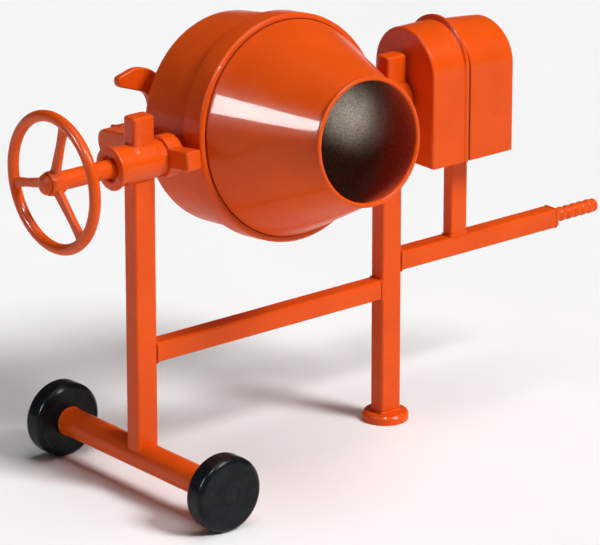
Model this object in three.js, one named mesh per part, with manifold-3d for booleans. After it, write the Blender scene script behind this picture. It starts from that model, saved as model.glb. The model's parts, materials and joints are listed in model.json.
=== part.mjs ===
// A site concrete mixer with a tilting drum: a two-wheeled tube frame, a yoke that tips the drum by a
// handwheel, a two-piece drum with a crown gear, and a belt drive in an arched motor case.
// Millimetres, +Z up. The origin is the centre of the foot's underside. +X runs along the frame towards
// the barrow handle, and the drum's mouth points to -Y.
import * as THREE from 'three';
import { mergeVertices } from 'three/addons/utils/BufferGeometryUtils.js';
import Module from 'manifold-3d';

const wasm = await Module();
wasm.setup();

// ---- Driving dimensions ----
const GAP = 0.3;                 // between pieces that touch
const ROUND = 16;                // facets round a shaft or a bush
const POST_SPAN = 805;           // between the two posts' centre lines
const LEFT_X = -POST_SPAN;
const TILT_Z = 877;              // height of the axis that the yoke tips about
const POST_WIDTH = 65;           // along X
const POST_DEPTH = 49;           // along Y
const BEAM_HEIGHT = 53;
const TUBE_WALL = 4;
const TUBE_CORNER = 7;
const LOWER_BEAM_Z = 371;
const HANDLE_BEAM_Z = 436;
const HANDLE_BEAM_END = 578;
const CAP_LENGTH = 10;
const CAP_TAPER = 0.86;          // the cap's small end against the beam's section
const GRIP_LENGTH = 150;
const GRIP_RIBS = 5;
const GRIP_ROD_RADIUS = 9;
const GRIP_ROD_REACH = 100;      // how far the rod goes into the grip
const HEAD_TOP = 998;

const WHEEL_RADIUS = 98.4;
const WHEEL_WIDTH = 63;
const WHEEL_INNER_Y = 301;       // from the axle's middle to a wheel's inner face
const AXLE_Y = 6;                // the axle's middle stands this far behind the posts
const AXLE_TUBE_RADIUS = 37.5;
const AXLE_TUBE_HALF = 297;
const AXLE_RADIUS = 12;
const WHEEL_ROUND = 9;           // of the tyre's shoulders
const WHEEL_POCKET_RADIUS = 24;
const WHEEL_POCKET_DEPTH = 14;
const WHEEL_CAP_THICKNESS = 7;
const FOOT_RADIUS = 61;
const FOOT_HEIGHT = 24;

const BARREL_RADIUS = 50;
const TILT_SHAFT_RADIUS = 24;
const TILT_BUSH_RADIUS = TILT_SHAFT_RADIUS + 8;
const TRUNNION_RADIUS = 30;      // hollow, on the motor's side
const TRUNNION_BUSH_RADIUS = 36;
const TRUNNION_BEARING_RADIUS = 20;
const DRIVE_SHAFT_RADIUS = 12;
const RIGHT_BLOCK_X = 13;        // the right head block stands this far off its post
const HANDWHEEL_X = -1068;
const HANDWHEEL_RADIUS = 167;
const HANDWHEEL_SPOKES = 3;
const HANDWHEEL_HUB_HALF = 24;
const RIM_RADIUS = 14.5;

const DRUM_X = -397;
const DRUM_LIFT = 17;            // the drum's axis passes this far above the tilt axis
const DRUM_RISE = THREE.MathUtils.degToRad(7);
const YOKE_HALF = 305;           // from the drum's axis to an arm's inner face
const ARM_THICKNESS = 45;
const ARM_HEIGHT = 50;
const ARM_FRONT = -120;
const ARM_REAR = 250;
const BOSS_RADIUS = 54;
const SPINDLE_RADIUS = 20;
const DRUM_BEARING_RADIUS = 31;
const DRUM_BEARING_LENGTH = 16;
const PADDLE_ANGLES = [112, 292];
const PADDLE_THICKNESS = 6;

const BAND_RADIUS = 290;
const BAND_FRONT = -100;
const BAND_REAR = -47;
const MOUTH_Y = -405;
const MOUTH_RADIUS = 158;
const SHELL_RADIUS = 276;
const REAR_EDGE_RADIUS = 272;
const REAR_EDGE_Y = 160;
const SHELL_WALL = 3;
const SHELL_JOINT_Y = -74;       // where the two shells meet, under the band
const DRUM_FACETS = 56;

const CROWN_TEETH = 84;
const PINION_TEETH = 12;
const CROWN_PITCH_RADIUS = 281;
const GEAR_MODULE = 2 * CROWN_PITCH_RADIUS / CROWN_TEETH;
const PRESSURE_ANGLE = THREE.MathUtils.degToRad(25);
const ADDENDUM = 0.8 * GEAR_MODULE;
const DEDENDUM = 1.05 * GEAR_MODULE;
const BACKLASH = 1.5;            // taken off each flank
const TOOTH_INNER = 277.5;       // radii between which the crown's teeth stand
const TOOTH_OUTER = 287;
const PINION_FACE = 6;

const CASE_FRONT_X = 56;
const CASE_SEAM_X = 181;
const CASE_REAR_X = 332;
const CASE_HALF_WIDTH = 116;
const CASE_BOTTOM = 703;
const CASE_TOP = 1060;
const CASE_REAR_TOP = 1056;
const CASE_WALL = 3;
const CASE_DROOP = 0.88;         // the rear crown's height at its far end, against its height at the seam
const BEAD = 3;                  // how far the seam's bead stands out
const BEAD_RISE = 10;            // and how much higher it arches
const PILLAR_X = 236;
const PILLAR_WIDTH = 57;
const PILLAR_DEPTH = 36;
const PLATE = 6;                 // thickness of the motor's plates
const SWITCH_Z = 905;
const BUTTON_RADIUS = 12;
const BUTTON_SPACING = 40;
const WIRE_HOLE_RADIUS = 16;
const INLET_Y = -50;
const INLET_Z = 762;
const MOTOR_Y = 40;
const MOTOR_Z = 785;
const MOTOR_RADIUS = 56;
const MOTOR_FINS = 16;
const MOTOR_SHAFT_RADIUS = 9;
const FAN_BLADES = 6;
const PULLEY_X0 = 84;
const PULLEY_X1 = 108;
const DRIVEN_PULLEY_RADIUS = 78;
const MOTOR_PULLEY_RADIUS = 18;
const GROOVE_DEPTH = 7.5;

// ---- Colours ----
const ORANGE = { color: 0xe2541c, roughness: 0.35, metalness: 0.0 };
const DARK_ORANGE = { color: 0xc8431a, roughness: 0.4, metalness: 0.0 };
const BLACK = { color: 0x17181a, roughness: 0.6, metalness: 0.0 };
const STEEL = { color: 0x9a9a98, roughness: 0.35, metalness: 1.0 };
const IRON = { color: 0x56524e, roughness: 0.6, metalness: 0.8 };
const GREEN = { color: 0x2d8a3a, roughness: 0.4, metalness: 0.0 };
const RED = { color: 0xc02020, roughness: 0.4, metalness: 0.0 };

// ---- Placing and joining ----
function addPart(parent, name, geometry, look) {
  const mesh = new THREE.Mesh(geometry, new THREE.MeshStandardMaterial(look));
  mesh.name = name;
  parent.add(mesh);
  return mesh;
}

function toSolid(geometry) {
  const bare = geometry.clone();
  bare.deleteAttribute('normal');
  bare.deleteAttribute('uv');
  const merged = mergeVertices(bare, 1e-4);
  return new wasm.Manifold(new wasm.Mesh({
    numProp: 3,
    vertProperties: new Float32Array(merged.attributes.position.array),
    triVerts: new Uint32Array(merged.index.array),
  }));
}

function toGeometry(solid) {
  const mesh = solid.getMesh();
  const geometry = new THREE.BufferGeometry();
  geometry.setAttribute('position', new THREE.BufferAttribute(new Float32Array(mesh.vertProperties), 3));
  geometry.setIndex(new THREE.BufferAttribute(new Uint32Array(mesh.triVerts), 1));
  geometry.computeVertexNormals();
  return geometry;
}

function joined(geometries) {
  let solid = toSolid(geometries[0]);
  for (const geometry of geometries.slice(1)) {
    solid = solid.add(toSolid(geometry));
  }
  return solid;
}

function cut(solid, geometries) {
  let result = solid;
  for (const geometry of geometries) {
    result = result.subtract(toSolid(geometry));
  }
  return result;
}

// ---- Outlines ----
function roundedRect(width, height, corner) {
  const shape = new THREE.Shape();
  const x = width / 2;
  const y = height / 2;
  shape.moveTo(-x + corner, -y);
  shape.lineTo(x - corner, -y);
  shape.absarc(x - corner, -y + corner, corner, -Math.PI / 2, 0, false);
  shape.lineTo(x, y - corner);
  shape.absarc(x - corner, y - corner, corner, 0, Math.PI / 2, false);
  shape.lineTo(-x + corner, y);
  shape.absarc(-x + corner, y - corner, corner, Math.PI / 2, Math.PI, false);
  shape.lineTo(-x, -y + corner);
  shape.absarc(-x + corner, -y + corner, corner, Math.PI, 1.5 * Math.PI, false);
  return shape;
}

function tubeSection(width, height) {
  const shape = roundedRect(width, height, TUBE_CORNER);
  shape.holes.push(roundedRect(width - 2 * TUBE_WALL, height - 2 * TUBE_WALL, TUBE_CORNER - TUBE_WALL));
  return shape;
}

function circle(radius, u = 0, v = 0) {
  const shape = new THREE.Shape();
  shape.absarc(u, v, radius, 0, 2 * Math.PI, false);
  return shape;
}

function ring(outer, inner) {
  const shape = circle(outer);
  shape.holes.push(circle(inner));
  return shape;
}

// An arch with straight sides and a flat bottom, drawn across Y and up Z, grown outwards by a margin.
function archSection(top, margin) {
  const half = CASE_HALF_WIDTH + margin;
  const spring = top - CASE_HALF_WIDTH;
  const bottom = CASE_BOTTOM - margin;
  const shape = new THREE.Shape();
  shape.moveTo(-half, bottom);
  shape.lineTo(half, bottom);
  shape.lineTo(half, spring);
  shape.absarc(0, spring, half, 0, Math.PI, false);
  return shape;
}

// ---- Solids from outlines: each takes the plane across its own axis ----
function extrude(shape, length, curveSegments) {
  return new THREE.ExtrudeGeometry(shape, { depth: length, bevelEnabled: false, curveSegments });
}

function alongX(shape, x0, x1, curveSegments = 12) {
  const turn = new THREE.Matrix4().set(0, 0, 1, 0, 1, 0, 0, 0, 0, 1, 0, 0, 0, 0, 0, 1);
  return extrude(shape, x1 - x0, curveSegments).applyMatrix4(turn).translate(x0, 0, 0);
}

function alongY(shape, y0, y1, curveSegments = 12) {
  return extrude(shape, y1 - y0, curveSegments).rotateX(Math.PI / 2).translate(0, y1, 0);
}

function alongZ(shape, z0, z1, curveSegments = 2) {
  return extrude(shape, z1 - z0, curveSegments).translate(0, 0, z0);
}

// A turned piece about Y, from [radius, y] pairs. A closed outline repeats its first pair.
function turned(pairs, segments) {
  let area = 0;
  for (let i = 0; i < pairs.length; i += 1) {
    const [r0, y0] = pairs[i];
    const [r1, y1] = pairs[(i + 1) % pairs.length];
    area += r0 * y1 - r1 * y0;
  }
  const ordered = area > 0 ? pairs : [...pairs].reverse();
  return new THREE.LatheGeometry(ordered.map(([r, y]) => new THREE.Vector2(r, y)), segments);
}

function turnedAlongX(pairs, segments) {
  return turned(pairs, segments).rotateZ(-Math.PI / 2);
}

function turnedAlongZ(pairs, segments) {
  return turned(pairs, segments).rotateX(Math.PI / 2);
}

// The corner radius of a faceted bore that clears a round piece of the given radius.
function boreFor(radius) {
  return (radius + GAP) / Math.cos(Math.PI / ROUND);
}

function closed(pairs) {
  return [...pairs, pairs[0]];
}

function sleeve(outer, inner, start, end) {
  return closed([[inner, start], [outer, start], [outer, end], [inner, end]]);
}

function hexagon(acrossFlats) {
  const shape = new THREE.Shape();
  const corner = acrossFlats / Math.sqrt(3);
  for (let i = 0; i < 6; i += 1) {
    const angle = i * Math.PI / 3;
    const method = i === 0 ? 'moveTo' : 'lineTo';
    shape[method](corner * Math.cos(angle), corner * Math.sin(angle));
  }
  return shape;
}

const mixer = new THREE.Group();

// ---- Wheeled end of the frame ----
function buildAxle() {
  const axle = new THREE.Group();
  axle.position.set(LEFT_X, AXLE_Y, WHEEL_RADIUS);
  mixer.add(axle);
  const end = AXLE_TUBE_HALF;
  const inside = AXLE_TUBE_RADIUS - TUBE_WALL;
  const bore = boreFor(AXLE_RADIUS);
  const collar = AXLE_TUBE_RADIUS + 2;
  const tube = [[bore, -end - 3], [collar, -end - 3], [collar, -end], [AXLE_TUBE_RADIUS, -end],
    [AXLE_TUBE_RADIUS, end], [collar, end], [collar, end + 3], [bore, end + 3], [bore, end - 12],
    [inside, end - 12], [inside, 12 - end], [bore, 12 - end]];
  addPart(axle, 'axle_tube', turned(closed(tube), 20), ORANGE);
  const tip = WHEEL_INNER_Y + WHEEL_WIDTH - WHEEL_CAP_THICKNESS - 2;
  const shaft = [[0, -tip], [AXLE_RADIUS, -tip], [AXLE_RADIUS, tip], [0, tip]];
  addPart(axle, 'axle_shaft', turned(shaft, 16), STEEL);
}

function buildWheel(name, side) {
  const wheel = new THREE.Group();
  wheel.position.set(LEFT_X, AXLE_Y + side * WHEEL_INNER_Y, WHEEL_RADIUS);
  mixer.add(wheel);
  const at = (y) => side * y;
  const round = WHEEL_ROUND;
  const bore = boreFor(AXLE_RADIUS);
  const pocket = WHEEL_POCKET_RADIUS;
  const floor = WHEEL_WIDTH - WHEEL_POCKET_DEPTH;
  const outline = [[bore, at(0)], [WHEEL_RADIUS - round, at(0)], [WHEEL_RADIUS, at(round)],
    [WHEEL_RADIUS, at(WHEEL_WIDTH - round)], [WHEEL_RADIUS - round, at(WHEEL_WIDTH)],
    [pocket, at(WHEEL_WIDTH)], [pocket, at(floor)], [bore, at(floor)]];
  addPart(wheel, name, turned(closed(outline), 32), BLACK);
  const lip = pocket - GAP;
  const back = WHEEL_WIDTH - WHEEL_CAP_THICKNESS;
  addPart(wheel, `${name}_cap`, turned([[0, at(back)], [lip, at(back)], [lip, at(WHEEL_WIDTH - 1)],
    [lip - 1.5, at(WHEEL_WIDTH)], [0, at(WHEEL_WIDTH)]], 16), BLACK);
}

// ---- Posts, beams and foot ----
function buildPost(name, x, bottomZ, cutters) {
  const tube = alongZ(tubeSection(POST_WIDTH, POST_DEPTH), bottomZ, TILT_Z).translate(x, 0, 0);
  const barrel = alongX(circle(BARREL_RADIUS + GAP), x - 60, x + 60, 24).translate(0, 0, TILT_Z);
  addPart(mixer, name, toGeometry(cut(toSolid(tube), [barrel, ...cutters])), ORANGE);
}

function buildFrame() {
  const axleSeat = alongY(circle(AXLE_TUBE_RADIUS + GAP), -60, 60, 20).translate(LEFT_X, 0, WHEEL_RADIUS);
  buildPost('left_post', LEFT_X, WHEEL_RADIUS, [axleSeat]);
  buildPost('right_post', 0, FOOT_HEIGHT + GAP, []);

  const beam = tubeSection(POST_DEPTH, BEAM_HEIGHT);
  const postFace = POST_WIDTH / 2 + GAP;
  addPart(mixer, 'lower_beam', alongX(beam, LEFT_X + postFace, -postFace, 2).translate(0, 0, LOWER_BEAM_Z),
    ORANGE);
  addPart(mixer, 'handle_beam', alongX(beam, postFace, HANDLE_BEAM_END, 2).translate(0, 0, HANDLE_BEAM_Z),
    ORANGE);

  addPart(mixer, 'foot_flange', turned([[0, 0], [FOOT_RADIUS - 2, 0], [FOOT_RADIUS, -2],
    [FOOT_RADIUS, 6 - FOOT_HEIGHT], [FOOT_RADIUS - 5, -FOOT_HEIGHT], [0, -FOOT_HEIGHT]], 28)
    .rotateX(-Math.PI / 2), ORANGE);
}

function buildHandle() {
  const start = HANDLE_BEAM_END + GAP;
  const cap = alongX(roundedRect(POST_DEPTH, BEAM_HEIGHT, TUBE_CORNER), start, start + CAP_LENGTH, 2);
  const place = cap.attributes.position;
  for (let i = 0; i < place.count; i += 1) {
    if (place.getX(i) > start + 1) {
      place.setY(i, CAP_TAPER * place.getY(i));
      place.setZ(i, CAP_TAPER * place.getZ(i));
    }
  }
  const rodBore = boreFor(GRIP_ROD_RADIUS);
  const bore = alongX(circle(rodBore), start - 5, start + CAP_LENGTH + 5, ROUND / 2);
  addPart(mixer, 'handle_beam_cap', toGeometry(cut(toSolid(cap), [bore]).translate([0, 0, HANDLE_BEAM_Z])),
    ORANGE);
  const rodEnd = start + CAP_LENGTH + GRIP_ROD_REACH;
  const rod = [[0, start - 10], [GRIP_ROD_RADIUS, start - 10], [GRIP_ROD_RADIUS, rodEnd], [0, rodEnd]];
  addPart(mixer, 'handle_rod', turnedAlongX(rod, ROUND).translate(0, 0, HANDLE_BEAM_Z), STEEL);

  const gripStart = start + CAP_LENGTH + GAP;
  const pitch = (GRIP_LENGTH - 26) / GRIP_RIBS;
  const outline = [[rodBore, gripStart], [17, gripStart], [17, gripStart + 14]];
  for (let i = 0; i < GRIP_RIBS; i += 1) {
    const x = gripStart + 14 + i * pitch;
    outline.push([19.5, x + 0.3 * pitch], [16, x + 0.9 * pitch]);
  }
  const end = gripStart + GRIP_LENGTH;
  const holeEnd = gripStart + GRIP_ROD_REACH + 1;
  outline.push([18, end - 7], [11, end], [0, end], [0, holeEnd], [rodBore, holeEnd]);
  addPart(mixer, 'handle_grip', turnedAlongX(closed(outline), 16).translate(0, 0, HANDLE_BEAM_Z), ORANGE);
}

// ---- Bearing housings on the posts ----
function buildHousing(name, blockX, x0, x1, bore, collars) {
  const barrel = alongX(circle(BARREL_RADIUS), x0, x1, 24).translate(0, 0, TILT_Z);
  const block = alongZ(roundedRect(POST_WIDTH, POST_DEPTH, TUBE_CORNER), TILT_Z, HEAD_TOP - 6)
    .translate(blockX, 0, 0);
  const crown = alongZ(roundedRect(POST_WIDTH - 6, POST_DEPTH - 6, TUBE_CORNER), HEAD_TOP - 8, HEAD_TOP)
    .translate(blockX, 0, 0);
  const hole = alongX(circle(bore), x0 - 10, x1 + 10, ROUND / 2).translate(0, 0, TILT_Z);
  addPart(mixer, name, toGeometry(cut(joined([barrel, block, crown, ...collars]), [hole])), ORANGE);
}

function buildBearings() {
  const leftStart = LEFT_X - 93;
  const leftEnd = LEFT_X + 36;
  const collar = alongX(circle(BARREL_RADIUS + 7), leftStart, leftStart + 12, 24).translate(0, 0, TILT_Z);
  buildHousing('left_bearing_housing', LEFT_X, leftStart, leftEnd, boreFor(TILT_BUSH_RADIUS), [collar]);
  buildHousing('right_bearing_housing', RIGHT_BLOCK_X, -36, 49, boreFor(TRUNNION_BUSH_RADIUS), []);

  const bearing = new THREE.Group();
  bearing.position.z = TILT_Z;
  mixer.add(bearing);
  const shaftBore = boreFor(TILT_SHAFT_RADIUS);
  const outerBush = sleeve(TILT_BUSH_RADIUS, shaftBore, leftStart + 10, leftStart + 34);
  addPart(bearing, 'left_bush_outer', turnedAlongX(outerBush, ROUND), DARK_ORANGE);
  addPart(bearing, 'tilt_brake_lining', turnedAlongX(sleeve(TILT_BUSH_RADIUS, shaftBore, leftStart + 36,
    leftEnd - 36), ROUND), IRON);
  const armLeft = DRUM_X - YOKE_HALF - ARM_THICKNESS - GAP;
  const leftBush = flangedBush(shaftBore, TILT_BUSH_RADIUS, leftEnd - 34, leftEnd, armLeft);
  addPart(bearing, 'left_bush_inner', turnedAlongX(leftBush, ROUND), ORANGE);
  const armRight = DRUM_X + YOKE_HALF + ARM_THICKNESS + GAP;
  const rightBush = flangedBush(boreFor(TRUNNION_RADIUS), TRUNNION_BUSH_RADIUS, 43, -36, armRight);
  addPart(bearing, 'right_bush', turnedAlongX(rightBush, ROUND), ORANGE);
}

// A bush whose flange fills the space between the housing's end and the yoke's arm.
function flangedBush(bore, outer, back, housingEnd, armFace) {
  const seat = housingEnd + Math.sign(armFace - housingEnd) * GAP;
  return closed([[bore, back], [outer, back], [outer, seat], [46, seat], [46, armFace], [bore, armFace]]);
}

// ---- Motor pillar and case ----
// The rear shell's crown droops towards its far end.
function flattenCrown(geometry) {
  const spring = CASE_REAR_TOP - CASE_HALF_WIDTH;
  const place = geometry.attributes.position;
  for (let i = 0; i < place.count; i += 1) {
    if (place.getX(i) > CASE_REAR_X - 10 && place.getZ(i) > spring) {
      place.setZ(i, spring + CASE_DROOP * (place.getZ(i) - spring));
    }
  }
}

function buildCase() {
  const pillarTop = CASE_BOTTOM - PLATE - GAP;
  const pillarBottom = HANDLE_BEAM_Z + BEAM_HEIGHT / 2 + GAP;
  const pillar = alongZ(tubeSection(PILLAR_WIDTH, PILLAR_DEPTH), pillarBottom, pillarTop - GAP);
  addPart(mixer, 'motor_pillar', pillar.translate(PILLAR_X, 0, 0), ORANGE);
  addPart(mixer, 'pillar_top_plate', alongZ(roundedRect(104, 90, 6), pillarTop, CASE_BOTTOM - GAP)
    .translate(PILLAR_X, 0, 0), ORANGE);

  const seam = CASE_SEAM_X;
  const inside = -CASE_WALL;
  const frontOuter = alongX(archSection(CASE_TOP, 0), CASE_FRONT_X, seam, 12);
  const frontInner = alongX(archSection(CASE_TOP, inside), CASE_FRONT_X + CASE_WALL, seam + 1, 12);
  const bead = alongX(archSection(CASE_TOP + BEAD_RISE, BEAD), seam - 15, seam - 3, 12);
  const shaftHole = alongX(circle(33), CASE_FRONT_X - 1, CASE_FRONT_X + 5, 12).translate(0, 0, TILT_Z);
  const frontSeat = new THREE.BoxGeometry(106, 92, PLATE).translate(PILLAR_X, 0, CASE_BOTTOM - PLATE / 2);
  addPart(mixer, 'motor_case_front', toGeometry(cut(joined([frontOuter, bead]),
    [frontInner, shaftHole, frontSeat])), ORANGE);

  const rearOuter = alongX(archSection(CASE_REAR_TOP, 0), seam + GAP, CASE_REAR_X, 12);
  const rearInner = alongX(archSection(CASE_REAR_TOP, inside), seam - 1, CASE_REAR_X - CASE_WALL, 12);
  flattenCrown(rearOuter);
  flattenCrown(rearInner);
  const wireHoles = [circle(WIRE_HOLE_RADIUS, 0, SWITCH_Z), circle(WIRE_HOLE_RADIUS, INLET_Y, INLET_Z)]
    .map((hole) => alongX(hole, CASE_REAR_X - 5, CASE_REAR_X + 1, 10));
  addPart(mixer, 'motor_case_rear', toGeometry(cut(toSolid(rearOuter), [rearInner, ...wireHoles])), ORANGE);

  const floor = CASE_BOTTOM + CASE_WALL + GAP;
  addPart(mixer, 'motor_base_plate', alongZ(roundedRect(256, 208, 4), floor, floor + PLATE)
    .translate((CASE_FRONT_X + CASE_REAR_X) / 2, 0, 0), STEEL);
}

// ---- Switch and power inlet on the operator's face of the case ----
function buildControls() {
  const face = CASE_REAR_X + GAP;
  const box = alongX(roundedRect(64, 96, 8), face, face + 18, 2);
  const reach = BUTTON_SPACING / 2;
  const pockets = [-reach, reach].map((z) => alongX(circle(BUTTON_RADIUS + 0.6), face + 6, face + 20, 10)
    .translate(0, 0, z));
  addPart(mixer, 'switch_box', toGeometry(cut(toSolid(box), pockets).translate([0, 0, SWITCH_Z])), BLACK);
  const button = [[0, face + 9.5], [BUTTON_RADIUS, face + 9.5], [BUTTON_RADIUS, face + 20.5],
    [BUTTON_RADIUS - 2, face + 22.5], [0, face + 22.5]];
  addPart(mixer, 'stop_button', turnedAlongX(button, 16).translate(0, 0, SWITCH_Z - reach), RED);
  addPart(mixer, 'start_button', turnedAlongX(button, 16).translate(0, 0, SWITCH_Z + reach), GREEN);

  const inlet = new THREE.Group();
  inlet.position.set(face, INLET_Y, INLET_Z);
  mixer.add(inlet);
  addPart(inlet, 'power_inlet', turnedAlongX([[0, 0], [32, 0], [32, 4], [25, 4], [25, 34], [21, 34],
    [21, 8], [0, 8]], 16), BLACK);
}

// ---- Motor, belt and pulleys ----
function buildMotor() {
  const shape = new THREE.Shape();
  const turn = 2 * Math.PI / MOTOR_FINS;
  for (let i = 0; i < MOTOR_FINS; i += 1) {
    for (const [share, radius] of [[0, MOTOR_RADIUS - 7], [0.5, MOTOR_RADIUS - 7], [0.5, MOTOR_RADIUS],
      [1, MOTOR_RADIUS]]) {
      const angle = (i + share) * turn;
      const method = i === 0 && share === 0 ? 'moveTo' : 'lineTo';
      shape[method](radius * Math.cos(angle), radius * Math.sin(angle));
    }
  }
  const body = alongX(shape, 150, 280).translate(0, MOTOR_Y, MOTOR_Z);
  const footTop = MOTOR_Z - MOTOR_RADIUS + 12;
  const footBottom = CASE_BOTTOM + CASE_WALL + PLATE + 2 * GAP;
  const foot = new THREE.BoxGeometry(100, 90, footTop - footBottom)
    .translate(215, MOTOR_Y, (footTop + footBottom) / 2);
  const shaftBore = boreFor(MOTOR_SHAFT_RADIUS);
  const bore = alongX(circle(shaftBore), 140, 290, ROUND / 2).translate(0, MOTOR_Y, MOTOR_Z);
  addPart(mixer, 'motor_body', toGeometry(cut(joined([body, foot]), [bore])), IRON);

  const motor = new THREE.Group();
  motor.position.set(0, MOTOR_Y, MOTOR_Z);
  mixer.add(motor);
  const rod = [[0, 78], [MOTOR_SHAFT_RADIUS, 78], [MOTOR_SHAFT_RADIUS, 304], [0, 304]];
  addPart(motor, 'motor_shaft', turnedAlongX(rod, ROUND), STEEL);
  addPart(motor, 'motor_pulley', turnedAlongX(pulleyOutline(MOTOR_PULLEY_RADIUS, shaftBore), ROUND), IRON);
  const blades = [alongX(ring(18, shaftBore), 286, 300, ROUND / 2)];
  for (let i = 0; i < FAN_BLADES; i += 1) {
    const angle = 2 * Math.PI * i / FAN_BLADES;
    blades.push(new THREE.BoxGeometry(12, 3, 34).translate(293, 0, 31).rotateX(angle));
  }
  addPart(motor, 'motor_fan', toGeometry(joined(blades)), BLACK);
}

function pulleyOutline(radius, bore) {
  const middle = (PULLEY_X0 + PULLEY_X1) / 2;
  const floor = radius - GROOVE_DEPTH;
  return closed([[bore, PULLEY_X0], [radius, PULLEY_X0], [radius, middle - 8.5], [floor, middle - 6.5],
    [floor, middle + 6.5], [radius, middle + 8.5], [radius, PULLEY_X1], [bore, PULLEY_X1]]);
}

// The loop around both pulleys, at a given height above the floors of their grooves.
function beltOutline(height) {
  const y = MOTOR_Y;
  const z = MOTOR_Z - TILT_Z;
  const span = Math.hypot(y, z);
  const big = DRIVEN_PULLEY_RADIUS - GROOVE_DEPTH + height;
  const small = MOTOR_PULLEY_RADIUS - GROOVE_DEPTH + height;
  const towards = Math.atan2(z, y);
  const lean = Math.acos((big - small) / span);
  const shape = new THREE.Shape();
  shape.absarc(0, 0, big, towards + lean, towards - lean + 2 * Math.PI, false);
  shape.absarc(y, z, small, towards - lean + 2 * Math.PI, towards + lean + 2 * Math.PI, false);
  return shape;
}

function buildBelt() {
  const loop = beltOutline(7);
  loop.holes.push(beltOutline(1.2));
  const middle = (PULLEY_X0 + PULLEY_X1) / 2;
  addPart(mixer, 'drive_belt', alongX(loop, middle - 5.5, middle + 5.5, 10).translate(0, 0, TILT_Z), BLACK);
}

// ---- Drive shaft through the right trunnion, with the pinion ----
// An involute flank's half thickness, as an angle, at a radius.
function flankAngle(radius) {
  const pitch = GEAR_MODULE * PINION_TEETH / 2;
  const base = pitch * Math.cos(PRESSURE_ANGLE);
  const roll = Math.acos(Math.min(1, base / Math.max(radius, base)));
  const rollAtPitch = Math.tan(PRESSURE_ANGLE) - PRESSURE_ANGLE;
  const half = (Math.PI * GEAR_MODULE / 4 - BACKLASH) / pitch;
  return half + rollAtPitch - (Math.tan(roll) - roll);
}

function pinionSection() {
  const pitch = GEAR_MODULE * PINION_TEETH / 2;
  const radii = [pitch - DEDENDUM, pitch - 2, pitch + 0.45 * ADDENDUM, pitch + ADDENDUM];
  const shape = new THREE.Shape();
  for (let i = 0; i < PINION_TEETH; i += 1) {
    const middle = Math.PI + 2 * Math.PI * i / PINION_TEETH;
    const flank = radii.map((radius) => [radius, flankAngle(radius)]);
    const points = [...flank.map(([r, a]) => [r, middle - a]),
      ...flank.reverse().map(([r, a]) => [r, middle + a])];
    points.forEach(([r, a], j) => {
      const method = i === 0 && j === 0 ? 'moveTo' : 'lineTo';
      shape[method](r * Math.cos(a), r * Math.sin(a));
    });
  }
  return shape;
}

function buildDriveShaft(yoke) {
  const start = DRUM_X + TOOTH_INNER - 1;
  const teeth = alongX(pinionSection(), start, start + PINION_FACE);
  const hub = alongX(circle(25), start, DRUM_X + YOKE_HALF - 2, 16);
  const shaftBore = boreFor(DRIVE_SHAFT_RADIUS);
  const bore = alongX(circle(shaftBore), start - 5, -80, ROUND / 2);
  addPart(yoke, 'drive_pinion', toGeometry(cut(joined([teeth, hub]), [bore])), IRON);
  const rod = [[0, start + 1], [DRIVE_SHAFT_RADIUS, start + 1], [DRIVE_SHAFT_RADIUS, 114], [0, 114]];
  addPart(yoke, 'drive_shaft', turnedAlongX(rod, ROUND), STEEL);
  addPart(yoke, 'driven_pulley', turnedAlongX(pulleyOutline(DRIVEN_PULLEY_RADIUS, shaftBore), 32), IRON);
}

// ---- Yoke ----
// An arm's outline, drawn along Y and up Z: a round boss on the tilt axis, a square nose in front of it, and
// a deeper rear end that carries the crossbar.
function armSection() {
  const half = ARM_HEIGHT / 2;
  const lean = Math.asin(half / BOSS_RADIUS);
  const rearTop = DRUM_LIFT + half + 2;
  const corner = 24;
  const shape = new THREE.Shape();
  shape.moveTo(ARM_REAR, -half + corner);
  shape.lineTo(ARM_REAR, rearTop - corner);
  shape.absarc(ARM_REAR - corner, rearTop - corner, corner, 0, Math.PI / 2, false);
  shape.lineTo(140, rearTop);
  shape.absarc(0, 0, BOSS_RADIUS, lean, Math.PI - lean, false);
  shape.lineTo(ARM_FRONT, half);
  shape.lineTo(ARM_FRONT, -half);
  shape.absarc(0, 0, BOSS_RADIUS, Math.PI + lean, 2 * Math.PI - lean, false);
  shape.lineTo(ARM_REAR - corner, -half);
  return shape;
}

function hornSection() {
  const base = DRUM_LIFT + ARM_HEIGHT / 2 + GAP;
  const shape = new THREE.Shape();
  shape.moveTo(-520, base);
  shape.quadraticCurveTo(-548, 150, -600, 174);
  shape.quadraticCurveTo(-626, 186, -650, 181);
  shape.lineTo(-688, 171);
  shape.quadraticCurveTo(-698, 168, -698, 158);
  shape.quadraticCurveTo(-698, 144, -686, 140);
  shape.lineTo(-628, 120);
  shape.quadraticCurveTo(-606, 112, -603, 84);
  shape.lineTo(-598, base);
  return shape;
}

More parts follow.
